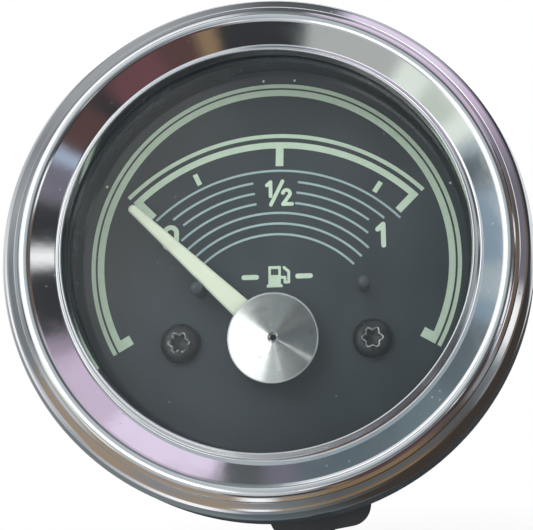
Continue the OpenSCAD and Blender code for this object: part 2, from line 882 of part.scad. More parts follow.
module terminal_blades() {
    foot_l = 6;
    taper = 1.2;
    color([0.85, 0.83, 0.75]) rotate(clamp_turn) at(terminals) {
        plate(tab_z - blade_t, tab_z) difference() {
            translate([-foot_l / 2, -blade_w / 2]) square([foot_l, blade_w]);
            circle(rivet_r + slip);
        }
        translate([foot_l / 2 - blade_t, 0, tab_z]) rotate([0, 90, 0]) linear_extrude(blade_t) difference() {
            polygon([
                [0, -blade_w / 2],
                [blade_l, -blade_w / 2],
                [blade_l + 1, taper - blade_w / 2],
                [blade_l + 1, blade_w / 2 - taper],
                [blade_l, blade_w / 2],
                [0, blade_w / 2]
            ]);
            translate([blade_l - 2, 0]) circle(0.9);
        }
    }
}

module terminal_rivets() {
    head_z = tab_z - blade_t;
    inner_z = can_floor_z + inner_insulator_t;
    color("silver") rotate(clamp_turn) at(terminals) {
        post(rivet_r, head_z, inner_z);
        post(rivet_r + 0.7, head_z - rivet_head_t, head_z);
        post(rivet_r + 1, inner_z, inner_z + rivet_head_t);
    }
}

module mounting_studs() {
    color([0.72, 0.68, 0.5]) rotate(clamp_turn) at(studs) {
        post(stud_d / 2, can_back_z - stud_l + 0.5, can_floor_z + 0.1);
        post(stud_flange_r, can_floor_z, can_floor_z + stud_flange_h);
        translate([0, 0, can_back_z - stud_l]) cylinder(r1 = stud_d / 2 - 0.4, r2 = stud_d / 2, h = 0.5);
    }
}

// A quarter bend of the clamp's strap, from angle a, about a point beside the strap
module bend(a, y, z) {
    translate([-strap_w / 2, y, z]) rotate([90, 0, 90]) rotate(a)
        rotate_extrude(angle = 90) translate([bend_r, 0]) square([strap_t, strap_w]);
}

module clamp_bracket() {
    round_r = foot_l - bend_r - slip;
    foot_back_z = -panel_room - strap_t;
    foot_y = leg_r + strap_t + bend_r;
    edge_y = leg_r + strap_t + foot_l;
    color([0.14, 0.15, 0.16]) rotate(clamp_turn) {
        plate(base_back_z, base_z) difference() {
            translate([-strap_w / 2, bend_r - leg_r]) square([strap_w, 2 * leg_r - 2 * bend_r]);
            at(studs) circle(stud_d / 2 + free);
        }
        for (a = [0, 180]) rotate(a) {
            bend(270, leg_r - bend_r, base_z + bend_r);
            bend(90, foot_y, foot_back_z - bend_r);
            translate([-strap_w / 2, leg_r, base_z + bend_r])
                cube([strap_w, strap_t, foot_back_z - base_z - 2 * bend_r]);
            plate(foot_back_z, -panel_room) intersection() {
                translate([-strap_w / 2, foot_y]) square([strap_w, edge_y - foot_y]);
                union() {
                    translate([-strap_w / 2, leg_r]) square([strap_w, edge_y - round_r - leg_r]);
                    translate([round_r - strap_w / 2, leg_r]) square([strap_w - 2 * round_r, edge_y - leg_r]);
                    for (s = [-1, 1]) translate([s * (strap_w / 2 - round_r), edge_y - round_r]) circle(round_r);
                }
            }
        }
        plate(foot_back_z, -panel_room)
            translate([-lug_w / 2, -edge_y - lug_l]) square([lug_w, edge_y + lug_l - foot_y]);
    }
}

module lock_washers() {
    color([0.6, 0.6, 0.58]) rotate(clamp_turn) at(studs) difference() {
        post(washer_d / 2, washer_back_z, base_back_z);
        post(stud_d / 2 + free, washer_back_z - 1, base_back_z + 1);
        translate([0, -0.3, washer_back_z - 1]) cube([washer_d, 0.6, washer_t + 2]);
    }
}

// A knurled nut on the stud at a side of the can's axis
module knurled_nut(side) {
    teeth = 36;
    rim_h = nut_h - 1.2;
    color([0.75, 0.66, 0.4]) rotate(clamp_turn) translate([0, side * stud_pitch / 2]) difference() {
        union() {
            plate(washer_back_z - nut_h, washer_back_z - nut_h + rim_h) polygon([
                for (i = [0:2 * teeth - 1]) on_dial(i * 180 / teeth, nut_d / 2 - (i % 2) * 0.3)
            ]);
            post(nut_d / 2 - 1, washer_back_z - nut_h + rim_h, washer_back_z);
        }
        post(stud_d / 2 + slip, washer_back_z - nut_h - 1, washer_back_z + 1);
    }
}

module knurled_nut_upper() {
    knurled_nut(1);
}

module knurled_nut_lower() {
    knurled_nut(-1);
}

// Heights and radii of the lamp
holder_r = holder_d / 2;
sleeve_in_r = holder_r - 0.45;
holder_front_z = can_back_z + 5.5;
holder_back_z = can_back_z - 4;
holder_rim_t = 0.6;
holder_insulator_t = 1.2;
contact_z = holder_back_z + holder_insulator_t;
contact_t = 0.5;
tip_t = 0.6;
bulb_foot_z = contact_z + contact_t + tip_t;
bulb_cap_l = 10.7;
bulb_glass_z = bulb_foot_z + bulb_cap_l;

// Places a piece of the lamp, drawn round the origin
module on_lamp() {
    rotate(clamp_turn) translate([-lamp_x, lamp_y]) children();
}

module lamp_holder() {
    color([0.72, 0.7, 0.62]) on_lamp() difference() {
        union() {
            post(holder_r, holder_back_z - holder_rim_t, holder_front_z);
            post(holder_flange_d / 2, can_back_z - 0.8, can_back_z);
        }
        post(sleeve_in_r, holder_back_z, holder_front_z + 1);
        post(3.6, holder_back_z - 2, holder_back_z + 1);
    }
}

module holder_insulator() {
    color([0.25, 0.15, 0.08]) on_lamp() difference() {
        post(sleeve_in_r - slip, holder_back_z, contact_z);
        post(1.1 + slip, holder_back_z - 1, contact_z + 1);
    }
}

module holder_contact() {
    color([0.8, 0.7, 0.4]) on_lamp() {
        post(2, contact_z, contact_z + contact_t);
        post(1.1, holder_back_z - 0.1, contact_z + 0.1);
        translate([-blade_w / 2, -blade_t / 2, holder_back_z - blade_l]) cube([blade_w, blade_t, blade_l]);
    }
}

module bulb_cap() {
    color([0.8, 0.76, 0.6]) on_lamp() difference() {
        union() {
            post(bulb_cap_d / 2, bulb_foot_z, bulb_glass_z);
            translate([0, 0, bulb_foot_z + 3]) rotate([0, 90, 0])
                cylinder(r = 0.7, h = 2 * sleeve_in_r - 0.2, center = true);
        }
        post(bulb_cap_d / 2 - 0.4, bulb_foot_z + 1, bulb_glass_z + 1);
    }
}

module bulb_contact() {
    color([0.7, 0.7, 0.7]) on_lamp() post(1.6, bulb_foot_z - tip_t, bulb_foot_z);
}

module bulb_glass() {
    wall = 0.4;
    r = bulb_d / 2;
    color("azure", 0.4) on_lamp() difference() {
        union() {
            post(r, bulb_glass_z, bulb_glass_z + bulb_l - r);
            translate([0, 0, bulb_glass_z + bulb_l - r]) sphere(r);
        }
        post(r - wall, bulb_glass_z - 1, bulb_glass_z + bulb_l - r);
        translate([0, 0, bulb_glass_z + bulb_l - r]) sphere(r - wall);
        post(r + 1, bulb_glass_z - r - 1, bulb_glass_z);
    }
}

module bulb_filament() {
    top_z = bulb_glass_z + bulb_l - bulb_d / 2;
    color([0.5, 0.5, 0.5]) on_lamp() {
        post(1.4, bulb_foot_z + 1, bulb_glass_z + 2);
        for (s = [-1, 1]) translate([s, 0]) post(0.2, bulb_glass_z + 1, top_z);
        translate([0, 0, top_z]) rotate([0, 90, 0]) cylinder(r = 0.25, h = 2.4, center = true);
    }
}

stand_up() bezel();
stand_up() front_glass();
stand_up() glass_seal();
stand_up() shade_ring();
stand_up() panel_gasket();
stand_up() gauge_can();
stand_up() dial_plate();
stand_up() dial_outer_arcs();
stand_up() dial_scale();
stand_up() dial_fine_lines();
stand_up() dial_numbers();
stand_up() dial_pump_mark();
stand_up() dial_screws();
stand_up() stop_pins();
stand_up() pointer_blade();
stand_up() pointer_hub();
stand_up() pointer_cap();
stand_up() pointer_spindle();
stand_up() pointer_counterweight();
stand_up() rotor_magnet();
stand_up() former_front();
stand_up() former_rear();
stand_up() inner_coil();
stand_up() outer_coil();
stand_up() front_bearing();
stand_up() rear_bearing();
stand_up() zero_magnet();
stand_up() magnetic_shield();
stand_up() movement_plate();
stand_up() dial_pillars();
stand_up() plate_posts();
stand_up() case_screws();
stand_up() circuit_board();
stand_up() coil_pins();
stand_up() ballast_resistor();
stand_up() link_wires();
stand_up() terminal_insulator();
stand_up() inner_insulator();
stand_up() terminal_blades();
stand_up() terminal_rivets();
stand_up() mounting_studs();
stand_up() clamp_bracket();
stand_up() lock_washers();
stand_up() knurled_nut_upper();
stand_up() knurled_nut_lower();
stand_up() lamp_holder();
stand_up() holder_insulator();
stand_up() holder_contact();
stand_up() bulb_cap();
stand_up() bulb_contact();
stand_up() bulb_glass();
stand_up() bulb_filament();
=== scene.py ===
"""The looks of a round dashboard fuel gauge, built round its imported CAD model.

Pieces are modelled face up, as in the part's source: x to the right of the dial, y to its top and
z out of the dial, with z = 0 where the gasket meets the panel. They are then stood up, so that the
dial faces -Y and its top points to +Z. All lengths are in metres.
"""
import json
from math import acos, asin, atan2, cos, degrees, pi, radians, sin, tan

import bmesh
import bpy
from bpy.props import FloatProperty, FloatVectorProperty, IntProperty, PointerProperty
from bpy.types import Operator, Panel, PropertyGroup
from mathutils import Matrix, Vector


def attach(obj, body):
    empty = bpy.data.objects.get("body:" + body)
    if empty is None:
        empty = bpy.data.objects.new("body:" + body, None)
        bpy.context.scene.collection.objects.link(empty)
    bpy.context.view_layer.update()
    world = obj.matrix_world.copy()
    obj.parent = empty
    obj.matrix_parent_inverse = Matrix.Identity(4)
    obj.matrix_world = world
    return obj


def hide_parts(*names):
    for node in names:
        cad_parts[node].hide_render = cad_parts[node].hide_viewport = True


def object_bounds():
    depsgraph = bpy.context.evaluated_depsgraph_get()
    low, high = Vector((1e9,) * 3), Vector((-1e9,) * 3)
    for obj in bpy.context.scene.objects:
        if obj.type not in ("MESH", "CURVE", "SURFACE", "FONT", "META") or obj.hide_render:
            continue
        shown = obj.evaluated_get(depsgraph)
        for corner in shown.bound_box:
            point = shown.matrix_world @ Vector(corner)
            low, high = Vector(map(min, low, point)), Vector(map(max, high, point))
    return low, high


bl_info = {
    "name": "Dashboard fuel gauge",
    "version": (1, 0, 0),
    "blender": (4, 5, 0),
    "location": "3D View > Sidebar > Gauge",
    "description": "Dresses a round fuel gauge with a chromed bezel",
    "category": "Add Mesh",
}

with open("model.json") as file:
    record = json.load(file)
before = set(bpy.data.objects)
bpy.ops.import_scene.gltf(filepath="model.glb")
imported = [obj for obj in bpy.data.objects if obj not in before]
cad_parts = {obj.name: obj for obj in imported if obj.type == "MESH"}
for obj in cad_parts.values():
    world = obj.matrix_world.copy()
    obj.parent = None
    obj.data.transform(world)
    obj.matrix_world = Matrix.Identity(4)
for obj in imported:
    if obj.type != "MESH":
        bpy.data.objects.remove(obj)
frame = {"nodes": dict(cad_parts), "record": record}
CAD_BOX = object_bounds()

MM = 0.001
FACE_UP_TO_STANDING = Matrix.Rotation(radians(90), 4, "X")


def length(name, description, millimetres):
    """A property that holds a length."""
    return FloatProperty(
        name=name, description=description, default=millimetres * MM, unit="LENGTH", precision=5
    )


def number(name, description, value, **traits):
    """A property that holds a plain number."""
    return FloatProperty(name=name, description=description, default=value, **traits)


def rotation(name, description, angle, **traits):
    """A property that holds an angle, given in degrees."""
    return number(name, description, radians(angle), unit="ROTATION", **traits)


def colour(name, description, value):
    """A property that holds a colour."""
    return FloatVectorProperty(
        name=name, description=description, default=value, subtype="COLOR", size=3, min=0, max=1
    )


class BezelSizes(PropertyGroup):
    """Sizes of the rolled bezel, its glass and the rings under it. Heights are above the panel."""

    window_r: length("Window radius", "Radius of the opening that shows the dial", 22.9)
    bead_round: length("Ridge half width", "Half the width of the ridge round the window", 0.42)
    bead_top: length("Ridge top", "Height of the ridge round the window", 8.75)
    groove_z: length("Groove height", "Height of the groove inside the cone", 7.8)
    crest_r: length("Crest radius", "Radius of the bezel's highest ring", 26.95)
    crest_top: length("Crest top", "Height of the crest", 9.47)
    crest_round: length("Crest rounding", "Rounding of the crest", 1.6)
    flank_tilt: number("Flank slope", "Slope outside the crest, in degrees", 27, min=10, max=40)
    step_r: length("Step radius", "Radius of the small step outside the crest", 27.97)
    slope_tilt: number("Outer slope", "Slope outside the step, in degrees", 21.5, min=10, max=40)
    shoulder_round: length("Shoulder rounding", "Rounding outside the crest", 2.0)
    equator_r: length("Outer radius", "Largest radius of the bezel", 30.0)
    equator_z: length("Outer height", "Height of the bezel's widest ring", 6.9)
    sheet: length("Sheet", "Thickness of the bezel's sheet", 0.5)
    crimp_r: length("Crimp radius", "Inside radius of the edge behind the can", 27.0)
    crimp_z: length("Crimp height", "Height of the can's flange", 2.9)
    mouth_z: length("Mouth height", "Height of the flange's front", 3.6)
    glass_r: length("Glass radius", "Radius of the front glass", 28.1)
    glass_z: length("Glass height", "Height of the glass's rear face", 4.9)
    lip_z: length("Lip underside", "Height of the lip's underside", 7.3)
    gasket_in_r: length("Gasket bore", "Inside radius of the gasket", 26.35)
    gasket_out_r: length("Gasket radius", "Outside radius of the gasket", 30.8)
    gasket_t: length("Gasket thickness", "Thickness of the gasket", 2.4)


class DialSizes(PropertyGroup):
    """Sizes of what stands on the dial."""

    face_z: length("Face height", "Height of the dial's face, above the panel", -0.5)
    shade_back_r: length("Shade ring at the dial", "Inside radius at the dial", 24.25)
    shade_front_r: length("Shade ring at the glass", "Inside radius at the glass", 23.2)
    shade_out_r: length("Shade ring outside", "Outside radius of the wall", 25.1)
    pivot_y: length("Pivot", "Height of the pointer's axis", -10.0)
    screw_x: length("Screw distance", "Distance of a screw from the middle line", 11.4)
    screw_head_r: length("Screw head radius", "Radius of the heads", 2.35)
    screw_head_h: length("Screw head height", "Height of the heads", 1.5)
    stop_r: length("Stop pin radius", "Radius of the stop pins", 0.75)
    stop_top: length("Stop pin height", "Height where the domes begin", 2.5)
    left_stop: length("Left stop", "Distance of the left pin from the pointer's axis", 11.0)
    right_stop: length("Right stop", "Distance of the right pin from the pointer's axis", 12.3)
    stop_gap: length("Stop gap", "Gap between the pointer and the pin that stops it", 0.03)


class PointerSizes(PropertyGroup):
    """Sizes of the pointer and of its cap."""

    blade_l: length("Blade length", "Length of the pointer from its axis", 23.8)
    tail_l: length("Tail length", "Length of the pointer behind its axis", 4.0)
    root_w: length("Root width", "Width of the pointer at its axis", 2.9)
    tip_w: length("Tip width", "Width of the pointer at its tip", 1.1)
    blade_z: length("Blade underside", "Height of the pointer's underside", 2.0)
    blade_t: length("Blade thickness", "Thickness of the pointer", 0.5)
    rest_angle: rotation("Rest angle", "Angle of the pointer at rest, left of upright", 46.4)
    full_angle: rotation("Full angle", "Angle of the pointer at full, right of upright", 50.7)
    cap_r: length("Cap radius", "Radius of the turned cap", 5.3)
    cap_top: length("Cap top", "Height of the cap's face", 3.4)
    cap_skirt: length("Cap skirt", "Height of the skirt's lower edge", 1.2)
    cap_wall: length("Cap wall", "Thickness of the cap's skirt", 0.5)
    cap_hole_r: length("Cap hole", "Radius of the small hole in the cap", 0.35)
    groove_pitch: length("Groove pitch", "Distance between the cap's turned grooves", 0.062)
    groove_lean: rotation(
        "Groove lean", "Outward lean of the grooves' faces", 10.5, min=0, max=radians(30)
    )


class BackSizes(PropertyGroup):
    """Sizes of the studs and nuts behind the can."""

    clamp_turn: rotation("Clamp turn", "Anticlockwise turn of the clamp, seen from the dial", 9)
    stud_y: length("Stud distance", "Distance of a stud from the can's axis", 15.0)
    stud_r: length("Stud radius", "Radius of the studs", 2.0)
    stud_end: length("Stud end", "Height of the studs' free ends", -50.0)
    stud_root: length("Stud root", "Height of the studs' inner ends", -31.2)
    thread_pitch: length("Thread pitch", "Pitch of the studs' thread", 0.7)
    nut_r: length("Nut radius", "Radius of the knurled nuts", 5.0)
    nut_front: length("Nut seat", "Height of the nuts' front faces", -38.5)
    nut_h: length("Nut height", "Height of the knurled nuts", 5.0)
    knurls: IntProperty(
        name="Knurls", description="Number of ridges round each nut", default=36, min=12, max=60
    )


class FinishColours(PropertyGroup):
    """Colours of the finishes."""

    chrome: colour("Chrome", "Tint of the plating", (0.86, 0.87, 0.885))
    dial: colour("Dial", "Black of the dial", (0.036, 0.045, 0.053))
    print_green: colour("Print", "Pale green of the scale and the numbers", (0.64, 0.78, 0.62))
    print_blue: colour("Fine lines", "Pale blue of the fine lines", (0.38, 0.5, 0.53))
    pointer: colour("Pointer", "Cream of the pointer", (0.76, 0.82, 0.66))
    cap: colour("Cap", "Tint of the turned cap", (0.9, 0.9, 0.89))
    rubber: colour("Rubber", "Black of the gasket", (0.034, 0.044, 0.052))


class StageLook(PropertyGroup):
    """The floor, the lamps and the camera."""

    floor: colour("Floor", "Colour of the floor", (0.95, 0.95, 0.95))
    floor_lift: number(
        "Floor lift", "How much of the floor's shading gives way to white", 0.82, min=0, max=1
    )
    soft_light: number("Soft light", "Strength of the light from all sides", 0.82, min=0)
    key_power: number("Key lamp", "Power of the large soft lamp", 3.0, min=0, unit="POWER")
    fill_power: number("Fill lamps", "Power of the smaller lamps", 1.2, min=0, unit="POWER")
    lens: number("Lens", "Focal length of the camera", 60.79, min=10, unit="CAMERA")
    shift: number("Shift", "How far the photograph was cut to the left of its middle", -0.187)


FACTOR, FIRST, SECOND, RESULT = 0, 6, 7, 2


def joins(operation, swapped=False):
    """A method of Field that joins two numbers with a Math node."""

    def method(self, other):
        pair = (other, self) if swapped else (self, other)
        return self.nodes.math(operation, *pair)

    return method


class Field:
    """A socket of a node tree, so that shader maths on numbers reads as plain sums."""

    def __init__(self, nodes, socket):
        self.nodes = nodes
        self.socket = socket

    __add__ = __radd__ = joins("ADD")
    __sub__ = joins("SUBTRACT")
    __rsub__ = joins("SUBTRACT", swapped=True)
    __mul__ = __rmul__ = joins("MULTIPLY")
    __truediv__ = joins("DIVIDE")
    __gt__ = joins("GREATER_THAN")


class Nodes:
    """The node tree of one material or world."""

    def __init__(self, owner):
        owner.use_nodes = True
        self.tree = owner.node_tree
        self.tree.nodes.clear()

    def add(self, kind, inputs=None, **settings):
        """Makes one node: its settings first, then the values or links of its sockets."""
        node = self.tree.nodes.new("ShaderNode" + kind)
        stops = settings.pop("stops", None)
        sharp = settings.pop("sharp", False)
        for name, value in settings.items():
            setattr(node, name, value)
        if stops:
            node.color_ramp.interpolation = "CONSTANT" if sharp else "LINEAR"
            elements = node.color_ramp.elements
            while len(elements) < len(stops):
                elements.new(0.5)
            for element, (place, shade) in zip(elements, stops):
                element.position = place
                element.color = (*shade, 1)
        for name, value in (inputs or {}).items():
            socket = node.inputs[name]
            if isinstance(value, Field):
                self.tree.links.new(value.socket, socket)
            elif socket.type == "RGBA" and len(value) == 3:
                socket.default_value = (*value, 1)
            else:
                socket.default_value = value
        return node

    def field(self, node, output=0):
        """One output of a node, ready for sums."""
        return Field(self, node.outputs[output])

    def out(self, kind, inputs=None, output=0, **settings):
        """Makes one node and gives one of its outputs."""
        return self.field(self.add(kind, inputs, **settings), output)

    def math(self, operation, *operands):
        """A Math node on up to three numbers."""
        return self.out("Math", dict(enumerate(operands)), operation=operation)

    def limit(self, value, low, high):
        """A number kept between two others."""
        return self.out("Clamp", {"Value": value, "Min": low, "Max": high})

    def step(self, value, low, high):
        """A smooth step from 0 at low to 1 at high."""
        limits = {"Value": value, "From Min": low, "From Max": high}
        return self.out("MapRange", limits, interpolation_type="SMOOTHSTEP")

    def mix(self, first, second, factor):
        """A colour between two others."""
        sockets = {FACTOR: factor, FIRST: first, SECOND: second}
        return self.out("Mix", sockets, RESULT, data_type="RGBA")

    def place(self, centre=(0, 0, 0), scale=(1, 1, 1)):
        """Where a point lies on the object, about a centre and stretched."""
        seat = self.out("TexCoord", output="Object")
        shifted = self.out("VectorMath", {0: seat, 1: centre}, operation="SUBTRACT")
        return self.out("Mapping", {"Vector": shifted, "Scale": scale})

    def parts(self, vector):
        """The x, y and z of a vector."""
        made = self.add("SeparateXYZ", {0: vector})
        return [self.field(made, axis) for axis in range(3)]

    def noise(self, scale, detail=2, stretch=(1, 1, 1)):
        """Soft cloudy noise from 0 to 1."""
        place = self.place(scale=stretch)
        return self.out("TexNoise", {"Vector": place, "Scale": scale, "Detail": detail})

    def specks(self, scale, size):
        """Small round specks, 1 in their middle and 0 around them, in some of the cells."""
        made = self.add("TexVoronoi", {"Vector": self.place(), "Scale": scale})
        chosen = self.parts(self.field(made, "Color"))
        return (1 - self.step(self.field(made, "Distance"), size * 0.4, size)) * (chosen[0] > 0.6)

    def either_side(self, ior):
        """An index of refraction that mirrors the same share from both sides of a pane."""
        back = self.out("NewGeometry", output="Backfacing")
        return self.math("POWER", ior, 1 - back * 2)

    def bump(self, height, distance):
        """A normal that follows a height."""
        return self.out("Bump", {"Height": height, "Distance": distance})


class Finish(Nodes):
    """One procedural material."""

    def __init__(self, name):
        self.material = bpy.data.materials.new(name)
        super().__init__(self.material)

    def surface(self, base, roughness, **others):
        """Ends the tree in one Principled surface."""
        names = {"metallic": "Metallic", "normal": "Normal", "specular": "Specular IOR Level"}
        inputs = {"Base Color": base, "Roughness": roughness}
        inputs.update({names[key]: value for key, value in others.items()})
        shader = self.out("BsdfPrincipled", inputs)
        self.add("OutputMaterial", {"Surface": shader})
        return self.material


def chrome(name, tint):
    """Bright plating with faint ripples, wiping marks and a little dust."""
    f = Finish(name)
    smear = f.noise(260, 3)
    ripple = f.noise(420)
    dust = f.specks(900, 0.16)
    soiled = f.step(smear, 0.5, 0.9) * 0.35 + dust * 0.15
    base = f.mix(tint, (0.7, 0.71, 0.72), soiled)
    roughness = 0.08 + f.step(smear, 0.45, 0.85) * 0.06 + dust * 0.15
    return f.surface(base, roughness, metallic=1.0, normal=f.bump(ripple, 0.000006))


def turned_aluminium(name, tint):
    """Aluminium faced on a lathe: fine rings about the pointer's axis."""
    dial = bpy.context.scene.gauge_dial
    f = Finish(name)
    x, _, z = f.parts(f.place(centre=(0, 0, dial.pivot_y)))
    r = f.math("SQRT", x * x + z * z)
    fine, broad = [
        f.out("TexNoise", {"W": r * rate, "Scale": 1.0, "Detail": 1.0}, noise_dimensions="1D")
        for rate in (9000, 1500)
    ]
    rings = fine * 0.7 + broad * 0.3
    stain = f.noise(700, 3)
    spot = f.noise(2600)
    base = f.mix(tint, (0.6, 0.59, 0.58), f.step(stain, 0.55, 0.85) * 0.4)
    base = f.mix(base, (0.3, 0.28, 0.25), f.step(spot, 0.68, 0.76) * 0.5)
    roughness = 0.1 + f.step(stain, 0.4, 0.8) * 0.07
    return f.surface(base, roughness, metallic=1.0, normal=f.bump(rings, 0.000003))


def pane(f, tint, roughness, share):
    """Ends a tree in thin glass that lets the lamps' light through and mirrors a share."""
    through = f.out("BsdfTransparent", {"Color": tint})
    mirror = f.out("BsdfGlossy", {"Color": (1, 1, 1), "Roughness": roughness})
    mixed = f.out("MixShader", {0: share, 1: through, 2: mirror})
    f.add("OutputMaterial", {"Surface": mixed})
    return f.material


def clear_glass(name):
    """The flat front glass, with faint smears."""
    f = Finish(name)
    smear = f.noise(90, 3, (1, 1, 0.6))
    facing = f.out("Fresnel", {"IOR": f.either_side(1.45)})
    share = facing * 0.9 + f.step(smear, 0.5, 0.75) * 0.012
    return pane(f, (0.97, 0.985, 0.98), 0.0, share)


def bulb_glass(name):
    """The lamp's thin clear glass, slightly uneven."""
    f = Finish(name)
    uneven = f.bump(f.noise(500), 0.00005)
    facing = f.out("Fresnel", {"IOR": f.either_side(1.5), "Normal": uneven})
    return pane(f, (0.95, 0.96, 0.95), 0.02, facing)


def dial_black(name, tint):
    """Matt black paint with a bluish bloom in patches and some dust."""
    f = Finish(name)
    bloom = f.noise(45, 3)
    grain = f.noise(4500)
    dust = f.specks(420, 0.07)
    base = f.mix(tint, tuple(1.5 * c for c in tint), f.step(bloom, 0.4, 0.75))
    base = f.mix(base, (0.3, 0.32, 0.34), dust * 0.5)
    roughness = 0.55 + f.step(bloom, 0.35, 0.8) * 0.12
    return f.surface(base, roughness, specular=0.3, normal=f.bump(grain, 0.0000003))


def printed(name, tint):
    """Screen-printed ink, slightly uneven."""
    f = Finish(name)
    uneven = f.noise(900, 3)
    worn = f.noise(260)
    thin = f.step(uneven, 0.35, 0.8) * 0.5 + f.step(worn, 0.5, 0.8) * 0.3
    base = f.mix(tint, tuple(0.86 * c for c in tint), thin)
    return f.surface(base, 0.55 + uneven * 0.1, normal=f.bump(uneven, 0.000008))


def painted(name, tint, worn_tint, gloss):
    """Paint with soft mottling and fine orange peel."""
    f = Finish(name)
    mottle = f.noise(180, 3)
    peel = f.noise(2500)
    base = f.mix(tint, worn_tint, f.step(mottle, 0.35, 0.8))
    roughness = gloss + f.step(mottle, 0.4, 0.8) * 0.1
    return f.surface(base, roughness, normal=f.bump(peel, 0.0000025))


RECESS_R, RECESS_LOBE = 1.06, 0.16


def blackened(name):
    """Blackened screws whose recess, measured in millimetres, has worn bright along its edge."""
    s = bpy.context.scene.gauge_dial
    f = Finish(name)
    x, _, z = f.parts(f.place(centre=(0, 0, s.pivot_y)))
    off = x - f.math("SIGN", x) * s.screw_x
    r = f.math("SQRT", off * off + z * z) / MM
    lobes = f.math("COSINE", f.math("ARCTAN2", z, off) * 6)
    past = r - (RECESS_R + lobes * RECESS_LOBE)
    edge = f.step(past, -0.17, -0.09) * (1 - f.step(past, 0.04, 0.12))
    chips = f.noise(1500)
    mottle = f.noise(600, 3)
    bare = edge * f.step(chips, 0.4, 0.48)
    base = f.mix((0.014, 0.015, 0.017), (0.03, 0.032, 0.035), f.step(mottle, 0.35, 0.8))
    base = f.mix(base, (0.97, 0.97, 0.95), bare)
    roughness = 0.27 + f.step(mottle, 0.4, 0.8) * 0.1
    return f.surface(base, roughness, metallic=bare, normal=f.bump(mottle, 0.000002))


def metal(name, tint, dull_tint, gloss, streak=(1, 1, 1)):
    """Plated or bare metal with dull patches and fine streaks."""
    f = Finish(name)
    patch = f.noise(220, 3)
    streaks = f.noise(1800, 3, streak)
    dull = f.step(patch, 0.4, 0.75) * 0.6 + f.step(streaks, 0.5, 0.8) * 0.25
    base = f.mix(tint, dull_tint, dull)
    roughness = gloss + f.step(patch, 0.35, 0.8) * 0.12 + f.step(streaks, 0.4, 0.8) * 0.06
    return f.surface(base, roughness, metallic=1.0, normal=f.bump(streaks, 0.000004))


def wound(name, tint):
    """Enamelled copper wire, wound in fine turns side by side."""
    f = Finish(name)
    x, _, z = f.parts(f.place())
    turns = f.math("SINE", (x + z) * (2 * pi / 0.00022))
    varied = f.noise(700)
    # The valleys between the turns are darkened: painted shade in the grooves between the wires
    base = f.mix(tint, tuple(0.45 * c for c in tint), f.step(turns, 0.2, -0.9) * 0.8)
    base = f.mix(base, (0.35, 0.12, 0.05), f.step(varied, 0.5, 0.8) * 0.4)
    return f.surface(base, 0.32 + varied * 0.1, metallic=0.6, normal=f.bump(turns, 0.00003))


def moulded(name, tint, shade, gloss):
    """Moulded plastic or rubber with a fine matt skin."""
    f = Finish(name)
    flow = f.noise(150, 3, (1, 1, 0.4))
    skin = f.noise(5200, 3)
    dust = f.specks(500, 0.1)
    base = f.mix(tint, shade, f.step(flow, 0.35, 0.75))
    base = f.mix(base, (0.35, 0.35, 0.34), dust * 0.12)
    return f.surface(base, gloss + f.step(flow, 0.35, 0.8) * 0.1, normal=f.bump(skin, 0.000001))


def laminate(name):
    """Brown board of pressed paper, with faint layers."""
    f = Finish(name)
    fibre = f.noise(900, 4, (1, 1, 0.25))
    y = f.parts(f.place())[1]
    layer = f.math("SINE", y * (2 * pi / 0.00025))
    base = f.mix((0.21, 0.105, 0.045), (0.11, 0.05, 0.022), f.step(fibre, 0.3, 0.75))
    base = f.mix(base, (0.3, 0.17, 0.08), f.step(layer, 0.5, 1.0) * 0.25)
    return f.surface(base, 0.45 + fibre * 0.15, normal=f.bump(fibre, 0.00001))


RECIPES = {
    "chrome": (chrome, "chrome"),
    "turned_aluminium": (turned_aluminium, "cap"),
    "clear_glass": (clear_glass,),
    "bulb_glass": (bulb_glass,),
    "dial_black": (dial_black, "dial"),
    "dial_print": (printed, "print_green"),
    "fine_print": (printed, "print_blue"),
    "pointer_paint": (painted, "pointer", (0.68, 0.73, 0.57), 0.38),
    "black_rubber": (moulded, "rubber", (0.05, 0.062, 0.072), 0.5),
    "black_plastic": (moulded, (0.06, 0.072, 0.084), (0.078, 0.09, 0.104), 0.22),
    "black_screw": (blackened,),
    "black_paint": (painted, (0.022, 0.025, 0.028), (0.04, 0.043, 0.046), 0.34),
    "can_steel": (metal, (0.6, 0.6, 0.57), (0.42, 0.42, 0.39), 0.3, (1, 6, 1)),
    "plain_steel": (metal, (0.62, 0.62, 0.61), (0.42, 0.42, 0.41), 0.26),
    "yellow_brass": (metal, (0.8, 0.62, 0.3), (0.52, 0.38, 0.17), 0.24, (1, 5, 1)),
    "tinned_brass": (metal, (0.74, 0.72, 0.66), (0.55, 0.52, 0.45), 0.28),
    "ferrite": (moulded, (0.07, 0.07, 0.075), (0.1, 0.1, 0.105), 0.5),
    "copper_winding": (wound, (0.72, 0.36, 0.18)),
    "former_plastic": (moulded, (0.74, 0.7, 0.58), (0.66, 0.61, 0.48), 0.4),
    "brown_laminate": (laminate,),
    "red_sleeve": (moulded, (0.45, 0.045, 0.035), (0.36, 0.03, 0.025), 0.32),
    "resistor_body": (painted, (0.3, 0.22, 0.16), (0.22, 0.15, 0.1), 0.45),
}


FINISHES = {}


def finish(slot):
    """The material of a slot of the record, made once. A recipe may name a colour of the user's."""
    if slot not in FINISHES:
        recipe, *values = RECIPES[slot]
        if values and isinstance(values[0], str):
            values[0] = tuple(getattr(bpy.context.scene.gauge_colours, values[0]))
        FINISHES[slot] = recipe(slot, *values)
    return FINISHES[slot]


def dress(*nodes):
    """Gives CAD nodes that stay the finish of their slot in the record."""
    slots = {p["node"]: p["material_slot"] for p in frame["record"]["subparts"]}
    for node in nodes:
        for place in frame["nodes"][node].material_slots:
            place.material = finish(slots[node])


